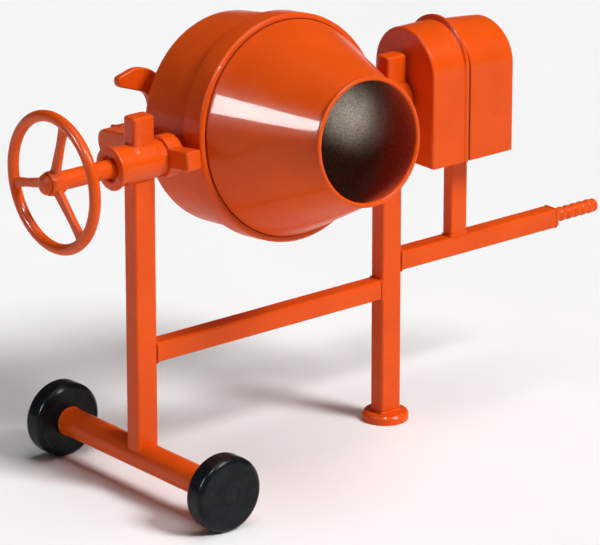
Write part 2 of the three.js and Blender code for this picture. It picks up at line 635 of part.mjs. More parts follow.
function buildYokeFrame(yoke) {
  for (const [name, side, bore] of [['yoke_arm_left', -1, TILT_SHAFT_RADIUS],
    ['yoke_arm_right', 1, TRUNNION_RADIUS]]) {
    const inner = DRUM_X + side * YOKE_HALF;
    const outer = DRUM_X + side * (YOKE_HALF + ARM_THICKNESS);
    const section = armSection();
    section.holes.push(circle(boreFor(bore)));
    addPart(yoke, name, alongX(section, Math.min(inner, outer), Math.max(inner, outer), ROUND / 2), ORANGE);
  }
  const barEnd = YOKE_HALF - GAP;
  const barBack = ARM_REAR - 2;
  const bar = alongX(tubeSection(ARM_HEIGHT - 2, ARM_HEIGHT), DRUM_X - barEnd, DRUM_X + barEnd, 2)
    .translate(0, barBack - (ARM_HEIGHT - 2) / 2, DRUM_LIFT);
  const spindleHole = alongY(circle(boreFor(SPINDLE_RADIUS)), 180, 270, ROUND / 2)
    .translate(DRUM_X, 0, DRUM_LIFT);
  addPart(yoke, 'yoke_crossbar', toGeometry(cut(toSolid(bar), [spindleHole])), ORANGE);
  const rod = [[0, 123], [SPINDLE_RADIUS, 123], [SPINDLE_RADIUS, 268], [0, 268]];
  addPart(yoke, 'drum_spindle', turned(rod, ROUND).translate(DRUM_X, 0, DRUM_LIFT), STEEL);
  const nut = hexagon(46);
  nut.holes.push(circle(boreFor(SPINDLE_RADIUS)));
  addPart(yoke, 'spindle_nut', alongY(nut, barBack + GAP, barBack + 14, ROUND / 2)
    .translate(DRUM_X, 0, DRUM_LIFT), STEEL);
  addPart(yoke, 'yoke_horn', alongY(hornSection(), 203, 227, 6), DARK_ORANGE);
}

function buildTilting(yoke) {
  const start = HANDWHEEL_X - HANDWHEEL_HUB_HALF;
  const end = DRUM_X - YOKE_HALF + 4;
  const shaft = [[0, start], [TILT_SHAFT_RADIUS, start], [TILT_SHAFT_RADIUS, end], [0, end]];
  addPart(yoke, 'tilt_shaft', turnedAlongX(shaft, ROUND), ORANGE);
  const trunnion = sleeve(TRUNNION_RADIUS, TRUNNION_BEARING_RADIUS + 1, DRUM_X + YOKE_HALF + 1, 74);
  addPart(yoke, 'drive_trunnion', turnedAlongX(trunnion, ROUND), STEEL);
  for (const [name, x] of [['drive_bearing_inner', -86], ['drive_bearing_outer', 54]]) {
    const bearing = sleeve(TRUNNION_BEARING_RADIUS, boreFor(DRIVE_SHAFT_RADIUS), x, x + 16);
    addPart(yoke, name, turnedAlongX(bearing, ROUND), STEEL);
  }
}

function buildHandwheel(yoke) {
  const rim = new THREE.TorusGeometry(HANDWHEEL_RADIUS, RIM_RADIUS, 8, 36);
  const pieces = [rim, turnedAlongZ([[0, -22], [28, -22], [31, -14], [31, 18], [28, HANDWHEEL_HUB_HALF],
    [0, HANDWHEEL_HUB_HALF]], 18)];
  for (let i = 0; i < HANDWHEEL_SPOKES; i += 1) {
    const spoke = new THREE.Shape();
    spoke.moveTo(20, -13);
    spoke.lineTo(110, -10);
    spoke.lineTo(HANDWHEEL_RADIUS - 2, -17);
    spoke.lineTo(HANDWHEEL_RADIUS - 2, 17);
    spoke.lineTo(110, 10);
    spoke.lineTo(20, 13);
    const angle = THREE.MathUtils.degToRad(-6.5 + 360 * i / HANDWHEEL_SPOKES);
    pieces.push(alongZ(spoke, -8, 8).rotateZ(angle));
  }
  const bore = alongZ(circle(boreFor(TILT_SHAFT_RADIUS)), -40, 40, ROUND / 2);
  const turn = new THREE.Matrix4().set(0, 0, 1, 0, 1, 0, 0, 0, 0, 1, 0, 0, 0, 0, 0, 1);
  const wheel = toGeometry(cut(joined(pieces), [bore])).applyMatrix4(turn).translate(HANDWHEEL_X, 0, 0);
  addPart(yoke, 'handwheel', wheel, ORANGE);
  const cap = HANDWHEEL_X - HANDWHEEL_HUB_HALF - GAP;
  addPart(yoke, 'handwheel_cap', turnedAlongX([[0, cap], [26, cap], [24, cap - 6], [14, cap - 11],
    [0, cap - 13]], 18), ORANGE);
}

// ---- Drum: every piece turns about the yoke's Y direction ----
function buildDrum(drum) {
  const inner = SHELL_WALL;
  const joint = SHELL_JOINT_Y;
  const rear = closed([[SHELL_RADIUS, joint], [SHELL_RADIUS, 50], [REAR_EDGE_RADIUS, REAR_EDGE_Y - 9],
    [REAR_EDGE_RADIUS - 8, REAR_EDGE_Y], [46, 178], [46, 178 - inner],
    [REAR_EDGE_RADIUS - 8 - inner, REAR_EDGE_Y - inner], [REAR_EDGE_RADIUS - inner, REAR_EDGE_Y - 11],
    [SHELL_RADIUS - inner, 50], [SHELL_RADIUS - inner, joint]]);
  addPart(drum, 'drum_rear_shell', turned(rear, DRUM_FACETS), ORANGE);

  const front = closed([[SHELL_RADIUS, joint - GAP], [SHELL_RADIUS, -103], [SHELL_RADIUS - 6, -115],
    [MOUTH_RADIUS, MOUTH_Y + 16], [MOUTH_RADIUS + 5, MOUTH_Y + 7], [MOUTH_RADIUS + 2, MOUTH_Y],
    [MOUTH_RADIUS - 5, MOUTH_Y + 3], [MOUTH_RADIUS - 4, MOUTH_Y + 16], [SHELL_RADIUS - inner, -103],
    [SHELL_RADIUS - inner, joint - GAP]]);
  addPart(drum, 'drum_front_shell', turned(front, DRUM_FACETS), ORANGE);

  const bearingBore = boreFor(DRUM_BEARING_RADIUS);
  const flange = [[0, 114], [42, 114], [42, 180 - inner - GAP], [45, 180 - inner - GAP],
    [45, 178 + GAP], [80, 178 + GAP], [80, 186], [44, 190], [26, 190],
    [26, 184], [bearingBore, 184], [bearingBore, 120], [0, 120]];
  addPart(drum, 'drum_hub', turned(flange, ROUND), IRON);
}

function paddleSection() {
  const shape = new THREE.Shape();
  shape.moveTo(SHELL_RADIUS - 8, 120);
  shape.lineTo(SHELL_RADIUS - 8, -80);
  shape.lineTo(SHELL_RADIUS - 40, -170);
  shape.lineTo(SHELL_RADIUS - 110, -120);
  shape.lineTo(SHELL_RADIUS - 90, 120);
  return shape;
}

function buildDrumInside(drum) {
  for (const [name, y] of [['drum_bearing_front', 126], ['drum_bearing_rear', 166]]) {
    const bearing = sleeve(DRUM_BEARING_RADIUS, boreFor(SPINDLE_RADIUS), y, y + DRUM_BEARING_LENGTH);
    addPart(drum, name, turned(bearing, ROUND), STEEL);
  }
  PADDLE_ANGLES.forEach((angle, i) => {
    const blade = extrude(paddleSection(), PADDLE_THICKNESS, 4).translate(0, 0, -PADDLE_THICKNESS / 2);
    addPart(drum, `mixing_paddle_${i + 1}`, blade.rotateY(THREE.MathUtils.degToRad(angle)), IRON);
  });
}

function buildRingGear(drum) {
  const band = closed([[SHELL_RADIUS + GAP, BAND_FRONT], [BAND_RADIUS - 5, BAND_FRONT],
    [BAND_RADIUS, BAND_FRONT + 5], [BAND_RADIUS, -30], [BAND_RADIUS - 2, -30],
    [BAND_RADIUS - 2, BAND_REAR], [SHELL_RADIUS + GAP, BAND_REAR]]);
  let gear = toSolid(turned(band, DRUM_FACETS));
  const pitchY = -GEAR_MODULE * PINION_TEETH / 2;
  const half = Math.PI * GEAR_MODULE / 4 - BACKLASH;
  const slope = Math.tan(PRESSURE_ANGLE);
  const tooth = new THREE.Shape();
  const rootHalf = half + DEDENDUM * slope;
  const tipHalf = half - ADDENDUM * slope;
  tooth.moveTo(-rootHalf, pitchY - DEDENDUM - 1);
  tooth.lineTo(rootHalf, pitchY - DEDENDUM - 1);
  tooth.lineTo(rootHalf, pitchY - DEDENDUM);
  tooth.lineTo(tipHalf, pitchY + ADDENDUM);
  tooth.lineTo(-tipHalf, pitchY + ADDENDUM);
  tooth.lineTo(-rootHalf, pitchY - DEDENDUM);
  const atPinion = Math.asin(DRUM_LIFT / CROWN_PITCH_RADIUS);
  for (let i = 0; i < CROWN_TEETH; i += 1) {
    const angle = atPinion + 2 * Math.PI * (i + 0.5) / CROWN_TEETH;
    const one = extrude(tooth, TOOTH_OUTER + 1.2 - TOOTH_INNER, 1).translate(0, 0, TOOTH_INNER);
    gear = gear.add(toSolid(one.rotateY(Math.PI / 2 + angle)));
  }
  addPart(drum, 'ring_gear', toGeometry(gear), ORANGE);
}

const yoke = new THREE.Group();
yoke.position.z = TILT_Z;
yoke.rotation.x = -DRUM_RISE;
mixer.add(yoke);
const drum = new THREE.Group();
drum.position.set(DRUM_X, 0, DRUM_LIFT);
yoke.add(drum);

buildAxle();
buildWheel('wheel_near', -1);
buildWheel('wheel_far', 1);
buildFrame();
buildHandle();
buildBearings();
buildCase();
buildControls();
buildMotor();
buildBelt();
buildYokeFrame(yoke);
buildTilting(yoke);
buildHandwheel(yoke);
buildDriveShaft(yoke);
buildDrum(drum);
buildDrumInside(drum);
buildRingGear(drum);

export default mixer;
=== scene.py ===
"""A site concrete mixer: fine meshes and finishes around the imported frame.
Metres, +Z up. The drum's mouth points to -Y and the barrow handle to +X."""
import json
import math

import bmesh
import bpy
from mathutils import Matrix, Vector


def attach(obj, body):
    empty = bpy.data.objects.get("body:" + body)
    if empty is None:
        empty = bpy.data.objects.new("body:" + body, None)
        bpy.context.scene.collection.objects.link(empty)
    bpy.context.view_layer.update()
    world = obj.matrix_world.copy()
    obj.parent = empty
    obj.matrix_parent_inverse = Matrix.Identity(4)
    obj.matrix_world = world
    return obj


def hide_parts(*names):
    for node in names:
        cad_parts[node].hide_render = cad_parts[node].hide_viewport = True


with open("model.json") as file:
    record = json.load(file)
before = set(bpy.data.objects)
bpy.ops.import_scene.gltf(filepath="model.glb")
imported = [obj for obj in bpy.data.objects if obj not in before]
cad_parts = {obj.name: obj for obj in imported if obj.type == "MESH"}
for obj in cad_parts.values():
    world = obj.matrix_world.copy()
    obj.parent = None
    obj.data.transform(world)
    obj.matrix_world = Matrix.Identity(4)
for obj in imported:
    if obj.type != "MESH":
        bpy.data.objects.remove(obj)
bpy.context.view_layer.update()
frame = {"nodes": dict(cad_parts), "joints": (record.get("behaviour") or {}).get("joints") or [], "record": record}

# ---- Places, all from the frame ----
JOINTS = {joint["name"]: joint for joint in frame["joints"]}
DRUM_AXIS = Vector(JOINTS["drum_spin"]["axis"])


def placed(origin, y_axis=(0, 1, 0)):
    """A place whose X is the row's X and whose Y is the given direction."""
    x = Vector((1, 0, 0))
    y = Vector(y_axis).normalized()
    turn = Matrix((x, y, x.cross(y))).transposed().to_4x4()
    return Matrix.Translation(Vector(origin)) @ turn


ROW = Matrix.Identity(4)
YOKE = placed(JOINTS["yoke_tilt"]["pos_m"], DRUM_AXIS)
DRUM = placed(JOINTS["drum_spin"]["pos_m"], DRUM_AXIS)
SPINDLE = placed(JOINTS["drum_spin"]["pos_m"], DRUM_AXIS)
TILT_Z = JOINTS["yoke_tilt"]["pos_m"][2]


def extent(node, place=ROW):
    """Lowest and highest corner of a CAD node, measured in a place's own directions."""
    back = place.inverted()
    points = [back @ vertex.co for vertex in frame["nodes"][node].data.vertices]
    low = Vector([min(p[i] for p in points) for i in range(3)])
    high = Vector([max(p[i] for p in points) for i in range(3)])
    return low, high


MOUTH_Y = extent("drum_front_shell")[0].y


def middle(node, place=ROW):
    low, high = extent(node, place)
    return (low + high) / 2


# ---- Outlines: lists of (u, v) points ----
def rounded(points, radius, closed=True, steps=5):
    """The outline with its corners rounded. A radius for each point may be given."""
    radii = radius if isinstance(radius, (list, tuple)) else [radius] * len(points)
    result = []
    count = len(points)
    for i, (point, size) in enumerate(zip(points, radii)):
        corner = Vector(point)
        if size <= 0 or (not closed and i in (0, count - 1)):
            result.append(tuple(corner))
            continue
        before = Vector(points[i - 1]) - corner
        after = Vector(points[(i + 1) % count]) - corner
        half_turn = (math.pi - before.angle(after)) / 2
        run = min(size * math.tan(half_turn), 0.45 * before.length, 0.45 * after.length)
        start = corner + before.normalized() * run
        end = corner + after.normalized() * run
        for k in range(steps + 1):
            t = k / steps
            result.append(tuple((1 - t) ** 2 * start + 2 * t * (1 - t) * corner + t * t * end))
    return result


def rounded_box_outline(width, height, radius, steps=6):
    x, y = width / 2, height / 2
    outline = []
    for cx, cy, start in ((x, -y, -90), (x, y, 0), (-x, y, 90), (-x, -y, 180)):
        sx, sy = math.copysign(radius, cx), math.copysign(radius, cy)
        for k in range(steps + 1):
            angle = math.radians(start + 90 * k / steps)
            outline.append((cx - sx + radius * math.cos(angle), cy - sy + radius * math.sin(angle)))
    return outline


def circle_outline(radius, sides=64, u=0.0, v=0.0):
    turn = 2 * math.pi / sides
    return [(u + radius * math.cos(turn * k), v + radius * math.sin(turn * k)) for k in range(sides)]


# ---- Meshes ----
def new_object(name, bm, place=ROW, smooth_angle=35):
    """Closes a bmesh into an object whose mesh already holds its place."""
    bmesh.ops.recalc_face_normals(bm, faces=bm.faces)
    bm.transform(place)
    mesh = bpy.data.meshes.new(name)
    bm.to_mesh(mesh)
    bm.free()
    piece = bpy.data.objects.new(name, mesh)
    bpy.context.scene.collection.objects.link(piece)
    mesh.shade_smooth()
    mesh.set_sharp_from_angle(angle=math.radians(smooth_angle))
    return piece


def applied(piece):
    """Makes the piece's modifiers part of its mesh."""
    bpy.context.view_layer.update()
    final = piece.evaluated_get(bpy.context.evaluated_depsgraph_get())
    piece.data = bpy.data.meshes.new_from_object(final)
    piece.modifiers.clear()
    return piece


def lathe(name, outline, place, segments=128, axis="Y"):
    """Turns (radius, height) points about an axis of the place. An outline that doesn't start and end
    on the axis closes on itself."""
    bm = bmesh.new()
    rings = []
    for radius, height in outline:
        count = 1 if radius < 1e-6 else segments
        ring = []
        for k in range(count):
            angle = 2 * math.pi * k / segments
            a, b = radius * math.cos(angle), radius * math.sin(angle)
            ring.append(bm.verts.new((a, height, b) if axis == "Y" else
                                     (height, a, b) if axis == "X" else (a, b, height)))
        rings.append(ring)
    open_ended = len(rings[0]) == 1 and len(rings[-1]) == 1
    pairs = list(zip(rings, rings[1:])) + ([] if open_ended else [(rings[-1], rings[0])])
    for one, two in pairs:
        if len(one) == 1 and len(two) == 1:
            continue
        for k in range(segments):
            j = (k + 1) % segments
            corners = [one[k % len(one)], one[j % len(one)], two[j % len(two)], two[k % len(two)]]
            bm.faces.new(list(dict.fromkeys(corners)))
    return new_object(name, bm, place)


def prism(name, outline, start, end, axis="X", place=ROW, bevel=0.0, levels=3):
    """An outline pushed along an axis: X takes (y, z), Y takes (x, z) and Z takes (x, y)."""
    def point(u, v, along):
        return {"X": (along, u, v), "Y": (u, along, v), "Z": (u, v, along)}[axis]
    bm = bmesh.new()
    low = [bm.verts.new(point(u, v, start)) for u, v in outline]
    high = [bm.verts.new(point(u, v, end)) for u, v in outline]
    bm.faces.new(low)
    bm.faces.new(high)
    for k in range(len(outline)):
        j = (k + 1) % len(outline)
        bm.faces.new((low[k], low[j], high[j], high[k]))
    piece = new_object(name, bm, place)
    return bevelled(piece, bevel, levels) if bevel else piece


def bevelled(piece, width, levels=3, angle=40):
    bevel = piece.modifiers.new("bevel", "BEVEL")
    bevel.width = width
    bevel.segments = levels
    bevel.limit_method = "ANGLE"
    bevel.angle_limit = math.radians(angle)
    applied(piece)
    return shaded(piece)


def shaded(piece):
    """Smooth round faces and flat flat ones, with sharp edges kept."""
    piece.data.shade_smooth()
    piece.data.set_sharp_from_angle(angle=math.radians(35))
    weigh = piece.modifiers.new("weigh", "WEIGHTED_NORMAL")
    weigh.keep_sharp = True
    weigh.weight = 50
    return applied(piece)


def merged(piece, others, operation):
    """Joins other solids to a piece, or cuts them from it, and removes them."""
    for other in others:
        step = piece.modifiers.new("merge", "BOOLEAN")
        step.operation = operation
        step.solver = "EXACT"
        step.object = other
        applied(piece)
        bpy.data.objects.remove(other)
    return piece


def cut(piece, *others):
    merged(piece, others, "DIFFERENCE")
    return shaded(piece)


def cast(name, solids, holes=(), voxel=0.0016, rounds=10):
    """Solids melted into one casting with rounded edges and fillets."""
    piece = merged(solids[0], solids[1:], "UNION")
    merged(piece, holes, "DIFFERENCE")
    piece.name = name
    remesh = piece.modifiers.new("remesh", "REMESH")
    remesh.mode = "VOXEL"
    remesh.voxel_size = voxel
    soften = piece.modifiers.new("soften", "SMOOTH")
    soften.factor = 0.5
    soften.iterations = rounds
    applied(piece)
    piece.data.shade_smooth()
    return piece


def joined(name, pieces):
    """One object from several separate solids of one kind."""
    bm = bmesh.new()
    for piece in pieces:
        bm.from_mesh(piece.data)
        bpy.data.objects.remove(piece)
    return new_object(name, bm)


def finish_piece(piece, body, material, slot, *nodes):
    """Gives a piece its finish and its body, and hides the CAD nodes that it stands for."""
    if not piece.data.materials:
        piece.data.materials.append(material)
    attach(piece, body)
    if nodes:
        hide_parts(*nodes)
    return piece


# ---- Finishes ----
class Finish:
    """A procedural material: nodes are added in the order that light meets them."""

    def __init__(self, name):
        self.material = bpy.data.materials.new(name)
        self.material.use_nodes = True
        self.nodes = self.material.node_tree.nodes
        self.links = self.material.node_tree.links
        self.shader = self.nodes["Principled BSDF"]
        self.place = self.nodes.new("ShaderNodeTexCoord").outputs["Object"]

    def noise(self, scale, detail=4.0, roughness=0.55, distortion=0.0):
        node = self.nodes.new("ShaderNodeTexNoise")
        node.inputs["Scale"].default_value = scale
        node.inputs["Detail"].default_value = detail
        node.inputs["Roughness"].default_value = roughness
        node.inputs["Distortion"].default_value = distortion
        self.links.new(self.place, node.inputs["Vector"])
        return node.outputs["Fac"]

    def ramp(self, source, stops):
        """Colours or greys between positions: stops are (position, colour)."""
        node = self.nodes.new("ShaderNodeValToRGB")
        elements = node.color_ramp.elements
        for element, (position, colour) in zip(elements, stops):
            element.position = position
            element.color = (*colour, 1)
        for position, colour in stops[2:]:
            elements.new(position).color = (*colour, 1)
        self.links.new(source, node.inputs["Fac"])
        return node.outputs["Color"]

    def mix(self, share, one, two, kind="MIX"):
        node = self.nodes.new("ShaderNodeMix")
        node.data_type = "RGBA"
        node.blend_type = kind
        for socket, value in ((node.inputs[0], share), (node.inputs[6], one), (node.inputs[7], two)):
            if isinstance(value, bpy.types.NodeSocket):
                self.links.new(value, socket)
            else:
                socket.default_value = value if isinstance(value, float) else (*value, 1)
        return node.outputs[2]

    def spread(self, source, low, high):
        """A noise's middle range spread to low..high."""
        node = self.nodes.new("ShaderNodeMapRange")
        node.inputs["From Min"].default_value = 0.3
        node.inputs["From Max"].default_value = 0.7
        node.inputs["To Min"].default_value = low
        node.inputs["To Max"].default_value = high
        self.links.new(source, node.inputs["Value"])
        return node.outputs["Result"]

    def bump(self, source, strength, depth):
        node = self.nodes.new("ShaderNodeBump")
        node.inputs["Strength"].default_value = strength
        node.inputs["Distance"].default_value = depth
        self.links.new(source, node.inputs["Height"])
        if self.shader.inputs["Normal"].is_linked:
            self.links.new(self.shader.inputs["Normal"].links[0].from_socket, node.inputs["Normal"])
        self.links.new(node.outputs["Normal"], self.shader.inputs["Normal"])

    def set(self, socket, value):
        if isinstance(value, bpy.types.NodeSocket):
            self.links.new(value, self.shader.inputs[socket])
        else:
            self.shader.inputs[socket].default_value = value

    def crevice_shade(self, colour, dark, low=0.42, high=0.5):
        """Painted shade: a darker tone where the surface folds inwards, standing in for the shade that gathers there.
        """
        geometry = self.nodes.new("ShaderNodeNewGeometry")
        shade_mask = self.ramp(geometry.outputs["Pointiness"], [(low, (1, 1, 1)), (high, (0, 0, 0))])
        return self.mix(shade_mask, colour, dark)


def orange_paint(name="orange_paint", peel=0.00006, cast_depth=0.0):
    """Glossy brushed-on enamel: a little lighter and darker in broad patches, with orange peel."""
    f = Finish(name)
    tone = f.ramp(f.noise(5.0), [(0.3, (0.680, 0.070, 0.0020)), (0.7, (0.770, 0.088, 0.0032))])
    grain = f.noise(420.0, detail=2.0)
    speck = f.ramp(grain, [(0.35, (0.93, 0.90, 0.90)), (0.65, (1.0, 1.0, 1.0))])
    colour = f.mix(1.0, tone, speck, "MULTIPLY")
    # castings get painted shade in their folds and fillets
    f.set("Base Color", f.crevice_shade(colour, (0.44, 0.034, 0.004)) if cast_depth else colour)
    f.set("Roughness", f.spread(f.noise(14.0), 0.27, 0.40))
    f.set("Specular IOR Level", 0.10)
    f.set("Coat Weight", 0.22 if cast_depth else 0.13)
    f.set("Coat Roughness", 0.05)
    f.bump(f.noise(190.0, detail=2.0), 0.6, peel)
    if cast_depth:
        f.bump(f.noise(38.0, detail=3.0), 0.7, cast_depth)
    return f.material


def seam_painted_shade():
    """Painted shade: dark paint, mottled like grime, that stands for the shadow down in the case's seam and in front of
    the drum's band.
    """
    f = Finish("seam_painted_shade")
    f.set("Base Color", f.ramp(f.noise(60.0), [(0.3, (0.24, 0.022, 0.003)), (0.7, (0.34, 0.034, 0.005))]))
    f.set("Roughness", f.spread(f.noise(90.0), 0.55, 0.75))
    f.set("Specular IOR Level", 0.1)
    f.bump(f.noise(300.0), 0.6, 0.0001)
    return f.material


def drum_metal():
    """The drum's worn inside: grey-brown steel, speckled with rust and dried cement."""
    f = Finish("drum_inside")
    broad = f.ramp(f.noise(9.0), [(0.30, (0.30, 0.27, 0.22)), (0.72, (0.46, 0.44, 0.38))])
    rust = f.ramp(f.noise(4.5, detail=6.0), [(0.52, (0, 0, 0)), (0.72, (1, 1, 1))])
    worn = f.mix(rust, broad, (0.30, 0.11, 0.06))
    depth = f.nodes.new("ShaderNodeSeparateXYZ")
    f.links.new(f.place, depth.inputs["Vector"])
    blurred = f.nodes.new("ShaderNodeMath")
    blurred.operation = "MULTIPLY_ADD"
    f.links.new(f.noise(16.0), blurred.inputs[0])
    blurred.inputs[1].default_value = 0.10
    f.links.new(depth.outputs["Y"], blurred.inputs[2])
    bare = f.nodes.new("ShaderNodeMapRange")
    bare.interpolation_type = "SMOOTHSTEP"
    bare.inputs["From Min"].default_value = MOUTH_Y + 0.17
    bare.inputs["From Max"].default_value = MOUTH_Y + 0.40
    f.links.new(blurred.outputs[0], bare.inputs["Value"])
    stained = f.mix(bare.outputs["Result"], (0.85, 0.095, 0.034), worn)
    speck = f.ramp(f.noise(320.0, detail=3.0, roughness=0.7), [(0.40, (0.45, 0.42, 0.4)), (0.66, (1.5, 1.45, 1.4))])
    f.set("Base Color", f.mix(1.0, stained, speck, "MULTIPLY"))
    f.set("Metallic", 0.1)
    f.set("Specular IOR Level", 0.25)
    f.set("Roughness", f.spread(f.noise(120.0), 0.42, 0.66))
    f.bump(f.noise(240.0, detail=4.0, roughness=0.7), 0.7, 0.0006)
    return f.material


def tyre_rubber():
    f = Finish("tyre_rubber")
    f.set("Base Color", f.ramp(f.noise(26.0), [(0.3, (0.003, 0.004, 0.005)), (0.75, (0.011, 0.013, 0.014))]))
    f.set("Roughness", f.spread(f.noise(60.0), 0.20, 0.30))
    f.set("Specular IOR Level", 0.12)
    f.bump(f.noise(130.0, detail=3.0), 0.6, 0.00018)
    return f.material


def plain_metal(name, dark, light, rough, grain=300.0, metallic=1.0, depth=0.0001):
    f = Finish(name)
    f.set("Base Color", f.ramp(f.noise(18.0, detail=6.0), [(0.3, dark), (0.7, light)]))
    f.set("Metallic", metallic)
    f.set("Roughness", f.spread(f.noise(grain * 0.3), rough - 0.07, rough + 0.1))
    f.bump(f.noise(grain), 0.5, depth)
    return f.material


def moulded(name, dark, light, rough=0.42, depth=0.00008):
    """Moulded plastic with a fine spark-eroded grain."""
    f = Finish(name)
    f.set("Base Color", f.ramp(f.noise(30.0), [(0.3, dark), (0.7, light)]))
    f.set("Roughness", f.spread(f.noise(80.0), rough - 0.06, rough + 0.08))
    f.bump(f.noise(600.0, detail=2.0), 0.6, depth)
    return f.material


def floor_finish():
    f = Finish("floor")
    f.set("Base Color", f.ramp(f.noise(0.8), [(0.3, (0.905, 0.905, 0.905)), (0.7, (0.925, 0.925, 0.925))]))
    f.set("Roughness", f.spread(f.noise(3.0), 0.55, 0.65))
    return f.material


ORANGE = orange_paint()
CAST_ORANGE = orange_paint("cast_orange_paint", cast_depth=0.0005)
INSIDE = drum_metal()
# painted shade for the case's seam groove and the edge of the drum's band
SEAM_SHADE = seam_painted_shade()
TYRE = tyre_rubber()
STEEL = plain_metal("bright_steel", (0.36, 0.36, 0.37), (0.62, 0.61, 0.60), 0.3)
ZINC = plain_metal("zinc_plate", (0.42, 0.42, 0.40), (0.66, 0.65, 0.60), 0.34)
IRON = plain_metal("cast_iron", (0.07, 0.065, 0.06), (0.16, 0.145, 0.13), 0.55, metallic=0.7, depth=0.0005)
BRASS = plain_metal("contact_brass", (0.32, 0.19, 0.07), (0.56, 0.37, 0.15), 0.36)
BELT = moulded("belt_rubber", (0.010, 0.010, 0.011), (0.028, 0.028, 0.030), 0.6, 0.0002)
LINING = moulded("brake_lining", (0.030, 0.022, 0.018), (0.075, 0.055, 0.042), 0.75, 0.0005)
BLACK = moulded("black_plastic", (0.008, 0.008, 0.009), (0.020, 0.020, 0.022))
RED = moulded("red_plastic", (0.42, 0.010, 0.008), (0.58, 0.018, 0.014), 0.3)
GREEN = moulded("green_plastic", (0.012, 0.19, 0.030), (0.020, 0.28, 0.050), 0.3)

SLOT_FINISH = {
    "orange_paint": ORANGE, "bronze": ORANGE, "black_rubber": BELT, "black_plastic": BLACK, "steel": STEEL,
    "cast_iron": IRON, "red_plastic": RED, "green_plastic": GREEN,
}


def finish_cad_nodes():
    """The inner nodes that stay get a finish and softened edges."""
    slots = {part["node"]: part["material_slot"] for part in frame["record"]["subparts"]}
    for name, node in frame["nodes"].items():
        material = LINING if name == "tilt_brake_lining" else SLOT_FINISH[slots[name]]
        node.data.materials.clear()
        node.data.materials.append(material)
        node.data.shade_smooth()
        node.data.set_sharp_from_angle(angle=math.radians(30))


# ---- Frame: posts, beams, foot and axle ----
BARREL_RADIUS = 0.050
RIGHT_BLOCK_X = 0.013                # the right head block stands this far towards the motor
TUBE_CORNER = 0.0075
TUBE_WALL = 0.004
AXES = {"X": 0, "Y": 1, "Z": 2}


def across(vector, axis):
    """The two coordinates across an axis, in the order that prism takes them."""
    return [vector[i] for i in range(3) if i != AXES[axis]]


def square_tube(node, axis, body="frame", cutters=(), place=ROW):
    low, high = extent(node, place)
    centre = across((low + high) / 2, axis)
    size = across(high - low, axis)
    start, end = low[AXES[axis]], high[AXES[axis]]

    def section(wall):
        corner = TUBE_CORNER - 0.6 * wall
        outline = rounded_box_outline(size[0] - 2 * wall, size[1] - 2 * wall, corner)
        return [(centre[0] + u, centre[1] + v) for u, v in outline]
    tube = prism(f"{node}_tube", section(0), start, end, axis, place)
    bore = prism("bore", section(TUBE_WALL), start - 0.01, end + 0.01, axis, place)
    cut(tube, bore, *cutters)
    return finish_piece(tube, body, ORANGE, "orange_paint", node)


def weld(name, node, axis, at, body="frame", place=ROW, radius=0.0034):
    """A rippled bead of weld around a square tube, at a height along it."""
    low, high = extent(node, place)
    centre = across((low + high) / 2, axis)
    width, height = across(high - low, axis)
    path = rounded_box_outline(width, height, TUBE_CORNER, steps=8)
    path = resampled(path, 0.0016)
    bm = bmesh.new()
    sides = 8
    rings = []
    for i, (u, v) in enumerate(path):
        before, after = Vector(path[i - 1]), Vector(path[(i + 1) % len(path)])
        along = (after - before).normalized()
        outward = Vector((along.y, -along.x))
        size = radius * (1 + 0.13 * math.sin(i * math.pi / 1.5))
        ring = []
        for k in range(sides):
            angle = 2 * math.pi * k / sides
            reach = size * math.cos(angle)
            point = [centre[0] + u + outward.x * reach, centre[1] + v + outward.y * reach]
            point.insert(AXES[axis], at + size * math.sin(angle))
            ring.append(bm.verts.new(point))
        rings.append(ring)
    for one, two in zip(rings, rings[1:] + rings[:1]):
        for k in range(sides):
            j = (k + 1) % sides
            bm.faces.new((one[k], one[j], two[j], two[k]))
    bead = new_object(name, bm, place, smooth_angle=80)
    return finish_piece(bead, body, ORANGE, "orange_paint")


def resampled(path, step):
    """Points a step apart round a closed path."""
    result = []
    for one, two in zip(path, path[1:] + path[:1]):
        a, b = Vector(one), Vector(two)
        pieces = max(1, round((b - a).length / step))
        result += [tuple(a.lerp(b, k / pieces)) for k in range(pieces)]
    return result


